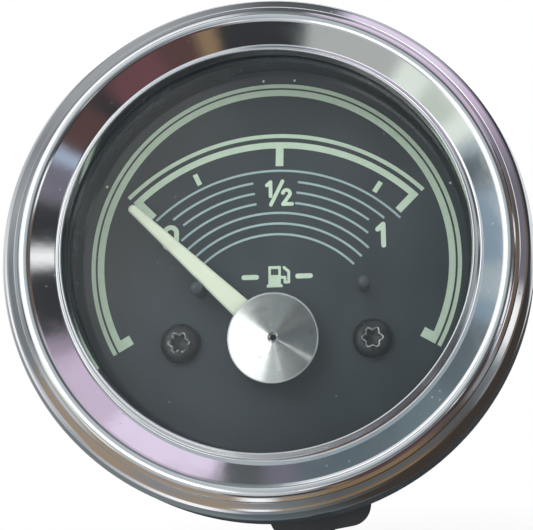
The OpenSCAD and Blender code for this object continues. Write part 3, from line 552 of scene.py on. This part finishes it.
def arc(centre, radius, start, end, steps):
    """Points of a profile along an arc, from one angle to another in degrees."""
    return [
        (
            centre[0] + radius * cos(radians(start + (end - start) * i / steps)),
            centre[1] + radius * sin(radians(start + (end - start) * i / steps)),
        )
        for i in range(steps + 1)
    ]


LONG_SIDE = 0.4 * MM
HOLDING_GAP = 0.04 * MM


def eased(profile, steps=4):
    """A profile whose corners, given as (r, z, rounding), are rounded.

    A long side keeps flat shading, because a holding point stands just past each rounding.
    """
    made = []
    for i, corner in enumerate(profile):
        point = Vector(corner[:2])
        rounding = corner[2] if len(corner) > 2 else 0
        before = Vector(profile[i - 1][:2]) - point
        after = Vector(profile[(i + 1) % len(profile)][:2]) - point
        if not rounding:
            made.append(tuple(point))
            continue
        half = before.angle(after) / 2
        reach = rounding / abs(tan(half))
        inward = (before.normalized() + after.normalized()).normalized()
        centre = point + inward * rounding / sin(half)
        first = point + before.normalized() * reach - centre
        last = point + after.normalized() * reach - centre
        sweep = first.angle_signed(last)
        if before.length - reach > LONG_SIDE:
            made.append(tuple(point + before.normalized() * (reach + HOLDING_GAP)))
        for k in range(steps + 1):
            made.append(tuple(centre + Matrix.Rotation(-sweep * k / steps, 2) @ first))
        if after.length - reach > LONG_SIDE:
            made.append(tuple(point + after.normalized() * (reach + HOLDING_GAP)))
    return made


def spun(profile, centre=(0, 0), steps=192, ring=True, into=None):
    """A solid of revolution about an upright axis, from a profile of (radius, height) points."""
    bm = into or bmesh.new()
    verts = [bm.verts.new((centre[0] + r, centre[1], z)) for r, z in profile]
    edges = [bm.edges.new(pair) for pair in zip(verts, verts[1:])]
    if ring:
        edges.append(bm.edges.new((verts[-1], verts[0])))
    bmesh.ops.spin(
        bm,
        geom=verts + edges,
        cent=(*centre, 0),
        axis=(0, 0, 1),
        angle=2 * pi,
        steps=steps,
        use_merge=True,
    )
    bmesh.ops.remove_doubles(bm, verts=bm.verts, dist=1e-7)
    bmesh.ops.recalc_face_normals(bm, faces=bm.faces)
    return bm


def lofted(loops, centre=(0, 0), segments=72, lobes=6, ring=False, into=None):
    """A solid through level loops of (radius, lobe depth, height), closed by lids or as a ring."""
    bm = into or bmesh.new()
    rows = []
    for radius, depth, height in loops:
        made = bmesh.ops.create_circle(bm, segments=segments, radius=radius)["verts"]
        for vert in made:
            swell = 1 + depth / radius * cos(lobes * atan2(vert.co.y, vert.co.x))
            vert.co = (centre[0] + vert.co.x * swell, centre[1] + vert.co.y * swell, height)
        rows.append(list({edge for vert in made for edge in vert.link_edges}))
    pairs = list(zip(rows, rows[1:])) + ([(rows[-1], rows[0])] if ring else [])
    for low, high in pairs:
        bmesh.ops.bridge_loops(bm, edges=low + high)
    if not ring:
        bmesh.ops.edgeloop_fill(bm, edges=rows[0])
        bmesh.ops.edgeloop_fill(bm, edges=rows[-1])
    bmesh.ops.recalc_face_normals(bm, faces=bm.faces)
    return bm


def linked(name, data):
    """Puts a mesh, a lamp or a camera in the scene."""
    made = bpy.data.objects.new(name, data)
    bpy.context.scene.collection.objects.link(made)
    return made


def placed(bm, name):
    """Makes a bmesh an object of the scene."""
    mesh = bpy.data.meshes.new(name)
    bm.to_mesh(mesh)
    bm.free()
    return linked(name, mesh)


def piece(bm, name, body, slot, replaces, crease=32):
    """Stands a bmesh up and puts it in the place of CAD nodes, on their body.

    Edges sharper than the crease, in degrees, stay sharp.
    """
    bmesh.ops.transform(bm, matrix=FACE_UP_TO_STANDING, verts=bm.verts)
    for face in bm.faces:
        face.smooth = True
    for edge in bm.edges:
        if len(edge.link_faces) == 2 and edge.calc_face_angle() > radians(crease):
            edge.smooth = False
    made = placed(bm, name)
    made.data.materials.append(finish(slot))
    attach(made, body)
    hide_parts(*replaces)


# What the chrome mirrors: tints by name, and rings about the mirrored line of sight. Each ring is
# listed by the angle where it starts, in degrees, with its tints after the angles where they stand.
ROOM_TINTS = {
    "window": (1.9, 1.92, 1.92),
    "white": (1.05, 1.05, 1.05),
    "frosted": (0.72, 0.76, 0.8),
    "pale green": (0.8, 0.88, 0.79),
    "soft green": (0.55, 0.62, 0.54),
    "stone": (0.45, 0.47, 0.45),
    "charcoal": (0.1, 0.11, 0.115),
    "near black": (0.036, 0.039, 0.043),
    "brown": (0.1, 0.058, 0.055),
    "umber": (0.15, 0.112, 0.086),
    "tan": (0.28, 0.19, 0.115),
    "maroon": (0.15, 0.07, 0.077),
    "sky": (0.42, 0.5, 0.64),
    "dusk": (0.17, 0.16, 0.2),
    "mauve": (0.33, 0.27, 0.34),
    "lilac": (0.64, 0.52, 0.67),
    "pale lilac": (0.84, 0.73, 0.91),
    "slate": (0.11, 0.145, 0.162),
    "teal": (0.14, 0.19, 0.21),
    "steel": (0.23, 0.32, 0.39),
    "mist": (0.37, 0.44, 0.47),
    "shade": (0.19, 0.215, 0.225),
    "soot": (0.05, 0.042, 0.036),
    "haze": (0.25, 0.275, 0.28),
    "grey blue": (0.1, 0.107, 0.115),
    "pewter": (0.25, 0.26, 0.28),
    "pebble": (0.38, 0.39, 0.4),
    "silver": (0.53, 0.55, 0.57),
    "pearl": (0.8, 0.82, 0.84),
    "sand": (0.35, 0.275, 0.205),
    "amber": (0.235, 0.155, 0.085),
    "peat": (0.1, 0.078, 0.064),
    "heather": (0.5, 0.45, 0.54),
}
ROOM_RINGS = {
    7: (
        "0 mist, 50 silver, 95 frosted, 118 195 white, 222 frosted, 250 silver, 290 mist"
    ),
    13.5: (
        "0 40 grey blue, 60 shade, 95 haze, 130 pewter, 148 pebble, 162 256 window, 261 silver, "
        "300 grey blue"
    ),
    20.5: (
        "0 40 grey blue, 60 shade, 95 haze, 103 white, 162 256 window, 262 pearl, 275 silver, "
        "277 280 white, 283 silver, 300 pewter, 317 grey blue, 319 321 white, 323 grey blue"
    ),
    29.5: (
        "0 20 umber, 28 heather, 60 78 lilac, 84 95 shade, 103 125 frosted, 140 212 white, "
        "222 258 272 silver, 284 brown, 338 soot, 342 350 white, 355 umber"
    ),
    44: (
        "0 near black, 4 white, 9 near black, 29 mauve, 34 lilac, 55 pale lilac, 84 charcoal, "
        "93 dusk, 101 slate, 123 teal, 136 slate, 152 steel, 158 mist, 167 steel, 186 slate, "
        "196 mist, 201 pale green, 207 soft green, 218 pale green, 228 stone, 256 charcoal, "
        "260 near black, 282 tan, 287 brown, 299 maroon, 316 near black, 321 brown, 336 sky, "
        "339 dusk, 351 near black"
    ),
    54.5: (
        "0 20 dusk, 30 mauve, 42 lilac, 55 76 pale lilac, 80 94 charcoal, 104 pewter, "
        "118 138 pebble, 150 pewter, 165 pebble, 178 198 shade, 207 230 sand, 240 pewter, "
        "255 sand, 268 shade, 283 322 charcoal, 334 shade, 341 350 white, 356 dusk"
    ),
    61: (
        "0 8 umber, 15 peat, 30 dusk, 44 mauve, 58 75 heather, 80 94 charcoal, 104 pewter, "
        "120 138 pebble, 150 pewter, 172 182 pebble, 192 pewter, 204 214 silver, 222 258 sand, "
        "262 266 white, 270 sand, 284 304 amber, 315 322 peat, 328 336 pewter, 342 umber"
    ),
    73.5: (
        "0 42 near black, 50 charcoal, 60 pebble, 72 silver, 85 pearl, 98 white, 110 pearl, "
        "121 silver, 132 pewter, 144 pebble, 156 silver, 169 pearl, 184 white, 198 pearl, "
        "213 pebble, 229 silver, 242 250 white, 260 pewter, 270 shade, 282 charcoal, "
        "300 345 soot, 360 near black"
    ),
    95: (
        "0 4 soot, 14 40 pearl, 58 124 window, 132 142 pearl, 150 silver, 161 pearl, 176 pebble, "
        "190 pewter, 205 242 shade, 255 slate, 270 charcoal, 288 soot"
    ),
    150: "0 soot, 190 262 slate, 290 soot",
}
SOFT_RING, SHARP_RING = 7, 44
SOFT_BLUR, RING_BLUR = 5, 1
ROOM_MIDDLE = (0.5, 0.55, 0.58)
WALL_BLURS = (-1.2, -0.4, 0.4, 1.2)
FLOOR_HALF = 3
FLOOR_FADE = (0.04, 0.2)
ROOM_AXIS = (-0.0125, -0.098, 0.0225)
CAMERA_PLACE = (0.01251, -0.10593, -0.02251)
CAMERA_AXES = (
    (0.999426, 0.020777, -0.026742),
    (0.030312, -0.196738, 0.979987),
    (0.0151, -0.980236, -0.197255),
)


class BuildStage(Operator):
    """Sets the floor, the room, the lamps and the camera"""

    bl_idname = "gauge.stage"
    bl_label = "Stage"

    def execute(self, context):
        look = context.scene.gauge_stage
        context.scene.view_settings.view_transform = "Standard"
        self.room(look)
        self.floor(look)
        self.lamp("key_lamp", (-0.35, -0.6, 0.5), 0.6, look.key_power)
        self.lamp("fill_lamp", (0.6, -0.45, 0.1), 0.4, look.fill_power)
        self.lamp("back_lamp", (0.2, 0.7, 0.45), 0.5, look.fill_power)
        self.camera(look)
        return {"FINISHED"}

    def room(self, look):
        """White behind the gauge, and the soft colours of a room in front of it for the chrome."""
        world = bpy.data.worlds.new("room")
        bpy.context.scene.world = world
        n = Nodes(world)
        direction = n.out("TexCoord", output="Generated")
        toward = Vector(ROOM_AXIS).normalized()
        right = Vector((0, 0, 1)).cross(toward).normalized()
        across, high, near = [
            n.out("VectorMath", {0: direction, 1: axis}, operation="DOT_PRODUCT", output="Value")
            for axis in (right, toward.cross(right), toward)
        ]
        polar = n.math("ARCCOSINE", n.limit(near, -1, 1)) * (180 / pi)
        around = n.math("FRACT", n.math("ARCTAN2", high, across) / (2 * pi) + 1)
        shade = ROOM_MIDDLE
        for start, walls in ROOM_RINGS.items():
            wall = self.wall(n, around, walls, start == SHARP_RING)
            blur = SOFT_BLUR if start == SOFT_RING else RING_BLUR
            shade = n.mix(shade, wall, n.step(polar, start - blur, start + blur))
        seen, mirrored = self.rays(n)
        soft = look.soft_light
        light = n.mix((soft, soft, soft), (1, 1, 1), seen)
        light = n.mix(light, shade, mirrored)
        n.add("OutputWorld", {"Surface": n.out("Background", {"Color": light})})

    def rays(self, n):
        """Whether the camera sees a place straight or through glass, and whether it is mirrored."""
        path = n.add("LightPath")
        straight = n.field(path, "Is Camera Ray")
        seen = n.math("MAXIMUM", straight, n.field(path, "Is Transmission Ray"))
        return seen, n.field(path, "Is Glossy Ray")

    def wall(self, n, around, walls, sharp):
        """The tints of a ring by their angle. A sharp one changes within a few degrees."""
        stops = []
        for words in map(str.split, walls.split(",")):
            angles = [int(word) for word in words if word.isdigit()]
            tint = ROOM_TINTS[" ".join(words[len(angles) :])]
            stops += [(angle / 360, tint) for angle in angles]
        if not sharp:
            return n.out("ValToRGB", {0: around}, stops=stops)
        places = [n.math("FRACT", around + 1 + blur / 360) for blur in WALL_BLURS]
        shades = [n.out("ValToRGB", {0: place}, stops=stops, sharp=True) for place in places]
        return n.mix(n.mix(*shades[:2], 0.5), n.mix(*shades[2:], 0.5), 0.5)

    def floor(self, look):
        """A pale floor under the gauge's lowest point."""
        lowest = CAD_BOX[0][2]
        bm = bmesh.new()
        bmesh.ops.create_grid(bm, x_segments=1, y_segments=1, size=FLOOR_HALF)
        bmesh.ops.translate(bm, vec=(0, 0, lowest), verts=bm.verts)
        made = placed(bm, "floor")
        material = bpy.data.materials.new("floor")
        n = Nodes(material)
        uneven = n.noise(4)
        pale = n.mix(tuple(look.floor), tuple(0.97 * c for c in look.floor), uneven)
        shaded = n.out("BsdfPrincipled", {"Base Color": pale, "Roughness": 0.8})
        white = n.out("Emission", {"Color": (1, 1, 1), "Strength": 1.0})
        seen, mirrored = self.rays(n)
        x, y, _ = n.parts(n.place())
        fade = n.step(n.math("SQRT", x * x + y * y), *FLOOR_FADE)
        lift = look.floor_lift + fade * (1 - look.floor_lift)
        both = n.out("MixShader", {0: seen * lift, 1: shaded, 2: white})
        room = n.out("BsdfTransparent", {"Color": (1, 1, 1)})
        whole = n.out("MixShader", {0: mirrored, 1: both, 2: room})
        n.add("OutputMaterial", {"Surface": whole})
        made.data.materials.append(material)

    def lamp(self, name, place, size, power):
        """A soft square lamp that faces the gauge."""
        light = bpy.data.lights.new(name, "AREA")
        light.energy = power
        light.size = size
        made = linked(name, light)
        made.location = place
        made.rotation_euler = Vector(place).to_track_quat("Z", "Y").to_euler()
        made.visible_glossy = False

    def camera(self, look):
        """The photograph's camera, found from the rings of the bezel and the dial."""
        data = bpy.data.cameras.new("camera")
        data.lens = look.lens
        data.shift_x = look.shift
        data.sensor_width = 36
        data.sensor_fit = "HORIZONTAL"
        data.clip_start = 0.01
        made = linked("camera", data)
        axes = Matrix(CAMERA_AXES).transposed().to_4x4()
        made.matrix_world = Matrix.Translation(CAMERA_PLACE) @ axes
        bpy.context.scene.camera = made


class BuildBezel(Operator):
    """Rolls the chromed bezel"""

    bl_idname = "gauge.bezel"
    bl_label = "Bezel"

    def execute(self, context):
        s = context.scene.gauge_bezel
        groove = Vector((s.window_r + 2 * s.bead_round, s.groove_z))
        crest = Vector((s.crest_r, s.crest_top - s.crest_round))
        shoulder = Vector((s.equator_r - s.shoulder_round, s.equator_z))
        rear_r = s.equator_r - 0.7 * MM
        slope = groove - crest
        tangent = atan2(slope.y, slope.x) - acos(s.crest_round / slope.length)
        start = 360 + degrees(tangent)
        inside = s.crest_round - s.sheet
        profile = (
            [(s.crimp_r, s.gasket_t, 0.15 * MM)]
            + arc((rear_r - s.sheet, s.crimp_z), s.sheet, -90, 0, 8)
            + arc(shoulder, s.shoulder_round, 0, 90 - s.slope_tilt, 28)
            + self.step(crest, shoulder, s)
            + arc(crest, s.crest_round, 90 - s.flank_tilt, start, 36)
            + [(*groove, 0.2 * MM), (s.window_r + 0.22 * MM, s.bead_top, 0.1 * MM)]
            + [(s.window_r, s.bead_top - 0.03 * MM, 0.09 * MM)]
            + [(s.window_r, s.lip_z, 0.1 * MM), (groove.x + 0.35 * MM, s.lip_z, 0.2 * MM)]
            + arc(crest, inside, start, 40, 16)
            + arc(shoulder, s.shoulder_round - s.sheet, 58, 0, 10)
            + [(rear_r - s.sheet, s.crimp_z, 0.2 * MM), (s.crimp_r, s.crimp_z, 0.1 * MM)]
        )
        piece(spun(eased(profile), steps=256), "bezel_shell", "case", "chrome", ("bezel",))
        return {"FINISHED"}

    def step(self, crest, shoulder, s):
        """The small step between the slope above the shoulder and the crest's flank."""
        slope, flank = radians(s.slope_tilt), radians(s.flank_tilt)
        outer = shoulder + s.shoulder_round * Vector((sin(slope), cos(slope)))
        inner = crest + s.crest_round * Vector((sin(flank), cos(flank)))
        foot_r = s.step_r + 0.12 * MM
        return [
            (foot_r, outer.y + (outer.x - foot_r) * tan(slope), 0.06 * MM),
            (s.step_r, inner.y - (s.step_r - inner.x) * tan(flank), 0.08 * MM),
        ]


class BuildGlass(Operator):
    """Sets the front glass, its seal and the shade ring behind it"""

    bl_idname = "gauge.glass"
    bl_label = "Glass and shade ring"

    def execute(self, context):
        s, d = context.scene.gauge_bezel, context.scene.gauge_dial
        dress("front_glass", "glass_seal")
        profile = [
            (d.shade_back_r, d.face_z, 0.1 * MM),
            (d.shade_out_r, d.face_z, 0.1 * MM),
            (d.shade_out_r, s.mouth_z, 0.2 * MM),
            (s.glass_r, s.mouth_z, 0.1 * MM),
            (s.glass_r, s.glass_z, 0.2 * MM),
            (d.shade_front_r, s.glass_z, 0.45 * MM),
        ]
        bm = spun(eased(profile, 6))
        piece(bm, "shade_ring_moulding", "case", "black_plastic", ("shade_ring",))
        return {"FINISHED"}


class BuildGasket(Operator):
    """Moulds the rubber gasket behind the bezel"""

    bl_idname = "gauge.gasket"
    bl_label = "Gasket"

    def execute(self, context):
        s = context.scene.gauge_bezel
        profile = [
            (s.gasket_in_r, 0, 0.15 * MM),
            (s.gasket_out_r, 0, 0.3 * MM),
            (s.gasket_out_r, s.gasket_t, 0.7 * MM),
            (s.gasket_in_r, s.gasket_t, 0.15 * MM),
        ]
        piece(spun(eased(profile, 6)), "gasket_ring", "case", "black_rubber", ("panel_gasket",))
        return {"FINISHED"}


class BuildDial(Operator):
    """Paints the dial and its printed marks"""

    bl_idname = "gauge.dial"
    bl_label = "Dial"

    def execute(self, context):
        dress(
            "dial_plate", "dial_outer_arcs", "dial_scale", "dial_fine_lines", "dial_numbers",
            "dial_pump_mark"
        )
        return {"FINISHED"}


class BuildDialScrews(Operator):
    """Sinks the two black screws with their six-lobed recesses"""

    bl_idname = "gauge.dial_screws"
    bl_label = "Dial screws"

    # Insets from the head's rim, then radii with their lobes, in millimetres, each with its share
    # of the head's height
    dome = ((0.06, 0.52), (0.22, 0.72), (0.5, 0.88), (0.85, 0.96))
    recess = (
        (1.16, 0.12, 1),
        (1.02, 0.17, 0.97),
        (0.95, 0.18, 0.9),
        (0.9, 0.17, 0.42),
        (0.5, 0.02, 0.34),
        (0.1, 0, 0.3),
    )

    def execute(self, context):
        s = context.scene.gauge_dial
        bm = bmesh.new()
        r, h, z = s.screw_head_r, s.screw_head_h, s.face_z
        shank = 1.2 * MM
        for side in (-1, 1):
            loops = [
                (shank, 0, z - 5.4 * MM),
                (shank, 0, z),
                (r - 0.06 * MM, 0, z + 0.0001 * MM),
                (r, 0, z + 0.1 * MM),
                (r, 0, z + 0.32 * h),
            ]
            loops += [(r - inset * MM, 0, z + share * h) for inset, share in self.dome]
            loops += [(at * MM, lobe * MM, z + share * h) for at, lobe, share in self.recess]
            lofted(loops, (side * s.screw_x, s.pivot_y), into=bm)
        piece(bm, "dial_screw_pair", "case", "black_screw", ("dial_screws",), crease=50)
        return {"FINISHED"}


class BuildStopPins(Operator):
    """Sets the two domed stop pins"""

    bl_idname = "gauge.stop_pins"
    bl_label = "Stop pins"

    def execute(self, context):
        s, p = context.scene.gauge_dial, context.scene.gauge_pointer
        bm = bmesh.new()
        stops = ((-1, p.rest_angle, s.left_stop), (1, p.full_angle, s.right_stop))
        for side, angle, reach in stops:
            half_w = (p.root_w + (p.tip_w - p.root_w) * reach / p.blade_l) / 2
            turn = side * (angle + asin((half_w + s.stop_r + s.stop_gap) / reach))
            place = (reach * sin(turn), s.pivot_y + reach * cos(turn))
            profile = (
                [(0, s.face_z - 0.75 * MM), (s.stop_r - 0.2 * MM, s.face_z - 0.75 * MM)]
                + [(s.stop_r - 0.2 * MM, s.face_z), (s.stop_r, s.face_z + 0.01 * MM)]
                + arc((0, s.stop_top), s.stop_r, 0, 90, 12)
            )
            spun(profile, place, 48, ring=False, into=bm)
        piece(bm, "stop_pin_pair", "case", "black_plastic", ("stop_pins",))
        return {"FINISHED"}


class BuildPointer(Operator):
    """Shapes the crowned pointer"""

    bl_idname = "gauge.pointer"
    bl_label = "Pointer"

    def execute(self, context):
        s, d = context.scene.gauge_pointer, context.scene.gauge_dial
        bm = bmesh.new()
        tip = s.tip_w / 2
        outline = [(-s.root_w / 2, -s.tail_l), (s.root_w / 2, -s.tail_l), (s.root_w / 2, 0)]
        outline += arc((0, s.blade_l - tip), tip, 8, 172, 12)
        outline += [(-s.root_w / 2, 0)]
        face = bm.faces.new([bm.verts.new((x, y, s.blade_z)) for x, y in outline])
        wall = bmesh.ops.extrude_face_region(bm, geom=[face])["geom"]
        top = [g for g in wall if isinstance(g, bmesh.types.BMVert)]
        bmesh.ops.translate(bm, vec=(0, 0, 0.45 * s.blade_t), verts=top)
        crown = [g for g in wall if isinstance(g, bmesh.types.BMFace)]
        for width, rise in ((0.06, 0.24), (0.1, 0.16), (0.12, 0.1), (0.14, 0.05)):
            bmesh.ops.inset_region(
                bm, faces=crown, thickness=width * MM, depth=rise * s.blade_t, use_even_offset=True
            )
        bmesh.ops.recalc_face_normals(bm, faces=bm.faces)
        turn = Matrix.Translation((0, d.pivot_y, 0)) @ Matrix.Rotation(s.rest_angle, 4, "Z")
        bmesh.ops.transform(bm, matrix=turn, verts=bm.verts)
        piece(bm, "pointer_needle", "pointer", "pointer_paint", ("pointer_blade",), crease=60)
        return {"FINISHED"}


class BuildCap(Operator):
    """Turns the bright cap over the pointer's hub"""

    bl_idname = "gauge.cap"
    bl_label = "Cap"

    def execute(self, context):
        s, d = context.scene.gauge_pointer, context.scene.gauge_dial
        under = s.blade_z + s.blade_t
        centre = (0, d.pivot_y)
        profile = [(s.cap_hole_r, under), (s.cap_r, under), (s.cap_r, s.cap_top, 0.12 * MM)]
        profile += self.grooves(s) + [(s.cap_hole_r, s.cap_top - 0.2 * MM, 0.06 * MM)]
        bm = spun(eased(profile, 6), centre)
        half_gap = 18
        side = [
            (s.cap_r - s.cap_wall, s.cap_skirt),
            (s.cap_r, s.cap_skirt),
            (s.cap_r, under),
            (s.cap_r - s.cap_wall, under),
        ]
        turn = Matrix.Rotation(s.rest_angle + radians(90 + half_gap), 4, "Z")
        verts = [bm.verts.new(turn @ Vector((r, 0, z)) + Vector((*centre, 0))) for r, z in side]
        start = bm.faces.new(verts)
        sweep = radians(360 - 2 * half_gap)
        bmesh.ops.spin(
            bm, geom=[start], cent=(*centre, 0), axis=(0, 0, 1), angle=sweep, steps=120
        )
        bmesh.ops.recalc_face_normals(bm, faces=bm.faces)
        piece(bm, "pointer_cap_turned", "pointer", "turned_aluminium", ("pointer_cap",), crease=24)
        dress("pointer_hub", "pointer_spindle", "pointer_counterweight")
        return {"FINISHED"}

    def grooves(self, s):
        """The tool marks of the lathe, as one long saw edge from the rim to the hole."""
        marks = []
        r, z = s.cap_r - 0.2 * MM, s.cap_top - 0.01 * MM
        face, fall = 0.84 * s.groove_pitch, 0.012 * s.groove_pitch
        while r > s.cap_hole_r + 0.3 * MM:
            lean = s.groove_lean + radians(0.5) * sin(len(marks) * 2.3)
            marks += [(r, z - face * tan(lean)), (r - face, z)]
            r -= s.groove_pitch
            z -= fall
        return marks


class BuildCan(Operator):
    """Plates the can and what is screwed and riveted to its back"""

    bl_idname = "gauge.can"
    bl_label = "Can"

    def execute(self, context):
        dress(
            "gauge_can", "case_screws", "terminal_insulator", "inner_insulator",
            "terminal_blades", "terminal_rivets"
        )
        return {"FINISHED"}


def stud_place(s, side):
    """Where the upper stud, side 1, or the lower one, side -1, stands on the can's back."""
    return Matrix.Rotation(s.clamp_turn, 3, "Z") @ Vector((0, side * s.stud_y, 0))


class BuildStuds(Operator):
    """Cuts the threads of the two studs"""

    bl_idname = "gauge.studs"
    bl_label = "Studs"

    def execute(self, context):
        s = context.scene.gauge_back
        bm = bmesh.new()
        for side in (-1, 1):
            place = stud_place(s, side)
            self.thread(bm, place, s)
            head_r, head_z = s.stud_r + 1.5 * MM, s.stud_root + 1.4 * MM
            profile = [
                (0, s.stud_root - 0.2 * MM),
                (head_r, s.stud_root - 0.1 * MM, 0.2 * MM),
                (head_r, head_z, 0.2 * MM),
                (0, head_z),
            ]
            spun(eased(profile), (place.x, place.y), 48, ring=False, into=bm)
        piece(bm, "stud_threads", "case", "plain_steel", ("mounting_studs",), crease=40)
        return {"FINISHED"}

    def thread(self, bm, place, s):
        """A right-hand thread, wound past both ends and then cut off square."""
        pitch, round_steps = s.thread_pitch, 24
        low, high = s.stud_end, s.stud_root
        turns = int((high - low) / pitch) + 3
        root = s.stud_r - 0.4 * MM
        crest = s.stud_r
        ridge = [(root, 0), (root, 0.1), (crest, 0.45), (crest, 0.6), (root, 0.95), (root, 1)]
        known = set(bm.verts)
        verts = [bm.verts.new((place.x + r, place.y, low + (t - 1.5) * pitch)) for r, t in ridge]
        edges = [bm.edges.new(pair) for pair in zip(verts, verts[1:])]
        bmesh.ops.spin(
            bm,
            geom=verts + edges,
            cent=place,
            axis=(0, 0, 1),
            dvec=(0, 0, pitch / round_steps),
            angle=2 * pi * turns,
            steps=round_steps * turns,
        )
        made = [v for v in bm.verts if v not in known]
        bmesh.ops.remove_doubles(bm, verts=made, dist=1e-6)
        for height, normal in ((low, (0, 0, -1)), (high, (0, 0, 1))):
            made = [v for v in bm.verts if v not in known]
            parts = made + [e for e in bm.edges if e.verts[0] not in known]
            parts += [f for f in bm.faces if f.verts[0] not in known]
            cut = bmesh.ops.bisect_plane(
                bm, geom=parts, plane_co=(0, 0, height), plane_no=normal, clear_outer=True
            )["geom_cut"]
            rim = [g for g in cut if isinstance(g, bmesh.types.BMEdge)]
            bmesh.ops.contextual_create(bm, geom=rim)
        made = [f for f in bm.faces if f.verts[0] not in known]
        bmesh.ops.recalc_face_normals(bm, faces=made)


class BuildNuts(Operator):
    """Knurls the two brass nuts"""

    bl_idname = "gauge.nuts"
    bl_label = "Knurled nuts"

    def execute(self, context):
        s = context.scene.gauge_back
        bore = s.stud_r + 0.05 * MM
        back = s.nut_front - s.nut_h
        rim = s.nut_front - 1.2 * MM
        depth = 0.15 * MM
        loops = [
            (bore, 0, s.nut_front - 0.2 * MM),
            (bore + 0.25 * MM, 0, s.nut_front),
            (s.nut_r - 1.15 * MM, 0, s.nut_front),
            (s.nut_r - 1.0 * MM, 0, s.nut_front - 0.15 * MM),
            (s.nut_r - 1.0 * MM, 0, rim),
            (s.nut_r - 0.65 * MM, 0, rim),
            (s.nut_r - depth, depth, rim - 0.45 * MM),
            (s.nut_r - depth, depth, back + 0.45 * MM),
            (s.nut_r - 0.65 * MM, 0, back),
            (bore + 0.4 * MM, 0, back),
            (bore, 0, back + 0.35 * MM),
        ]
        for side, name in ((1, "upper"), (-1, "lower")):
            place = stud_place(s, side)
            bm = lofted(loops, (place.x, place.y), 4 * s.knurls, s.knurls, ring=True)
            nut = f"nut_{name}"
            piece(bm, f"{nut}_knurled", nut, "yellow_brass", (f"knurled_{nut}",))
        return {"FINISHED"}


class BuildClamp(Operator):
    """Paints the clamp and plates its washers"""

    bl_idname = "gauge.clamp"
    bl_label = "Clamp"

    def execute(self, context):
        dress("clamp_bracket", "lock_washers")
        return {"FINISHED"}


class BuildLamp(Operator):
    """Finishes the lamp holder and its bulb"""

    bl_idname = "gauge.lamp"
    bl_label = "Lamp"

    def execute(self, context):
        dress(
            "lamp_holder", "holder_insulator", "holder_contact", "bulb_cap", "bulb_contact",
            "bulb_glass", "bulb_filament"
        )
        return {"FINISHED"}


class BuildMovement(Operator):
    """Finishes the movement inside the can"""

    bl_idname = "gauge.movement"
    bl_label = "Movement"

    def execute(self, context):
        dress(
            "rotor_magnet", "former_front", "former_rear", "inner_coil", "outer_coil",
            "front_bearing", "rear_bearing", "zero_magnet", "magnetic_shield", "movement_plate",
            "dial_pillars", "plate_posts", "circuit_board", "coil_pins", "ballast_resistor",
            "link_wires"
        )
        return {"FINISHED"}


OPERATORS = (
    BuildStage,
    BuildBezel,
    BuildGlass,
    BuildGasket,
    BuildDial,
    BuildDialScrews,
    BuildStopPins,
    BuildPointer,
    BuildCap,
    BuildCan,
    BuildStuds,
    BuildNuts,
    BuildClamp,
    BuildLamp,
    BuildMovement,
)


class GaugePanel(Panel):
    """Lists the gauge's sizes, colours and pieces"""

    bl_idname = "VIEW3D_PT_gauge"
    bl_label = "Fuel gauge"
    bl_space_type = "VIEW_3D"
    bl_region_type = "UI"
    bl_category = "Gauge"

    def draw(self, context):
        for name in GROUPS:
            group = getattr(context.scene, name)
            box = self.layout.box()
            for key in group.bl_rna.properties.keys():
                if key not in {"rna_type", "name"}:
                    box.prop(group, key)
        for operator in OPERATORS:
            self.layout.operator(operator.bl_idname)


GROUPS = {
    "gauge_bezel": BezelSizes,
    "gauge_dial": DialSizes,
    "gauge_pointer": PointerSizes,
    "gauge_back": BackSizes,
    "gauge_colours": FinishColours,
    "gauge_stage": StageLook,
}


def register():
    """Registers the classes and hangs the groups on the scene."""
    for cls in (*GROUPS.values(), *OPERATORS, GaugePanel):
        bpy.utils.register_class(cls)
    for name, group in GROUPS.items():
        setattr(bpy.types.Scene, name, PointerProperty(type=group))


def unregister():
    """Takes the groups and the classes away again."""
    for name in GROUPS:
        delattr(bpy.types.Scene, name)
    for cls in reversed((*GROUPS.values(), *OPERATORS, GaugePanel)):
        bpy.utils.unregister_class(cls)


def main():
    """Builds the whole gauge."""
    register()
    for operator in OPERATORS:
        family, name = operator.bl_idname.split(".")
        getattr(getattr(bpy.ops, family), name)()


if __name__ == "__main__":
    main()
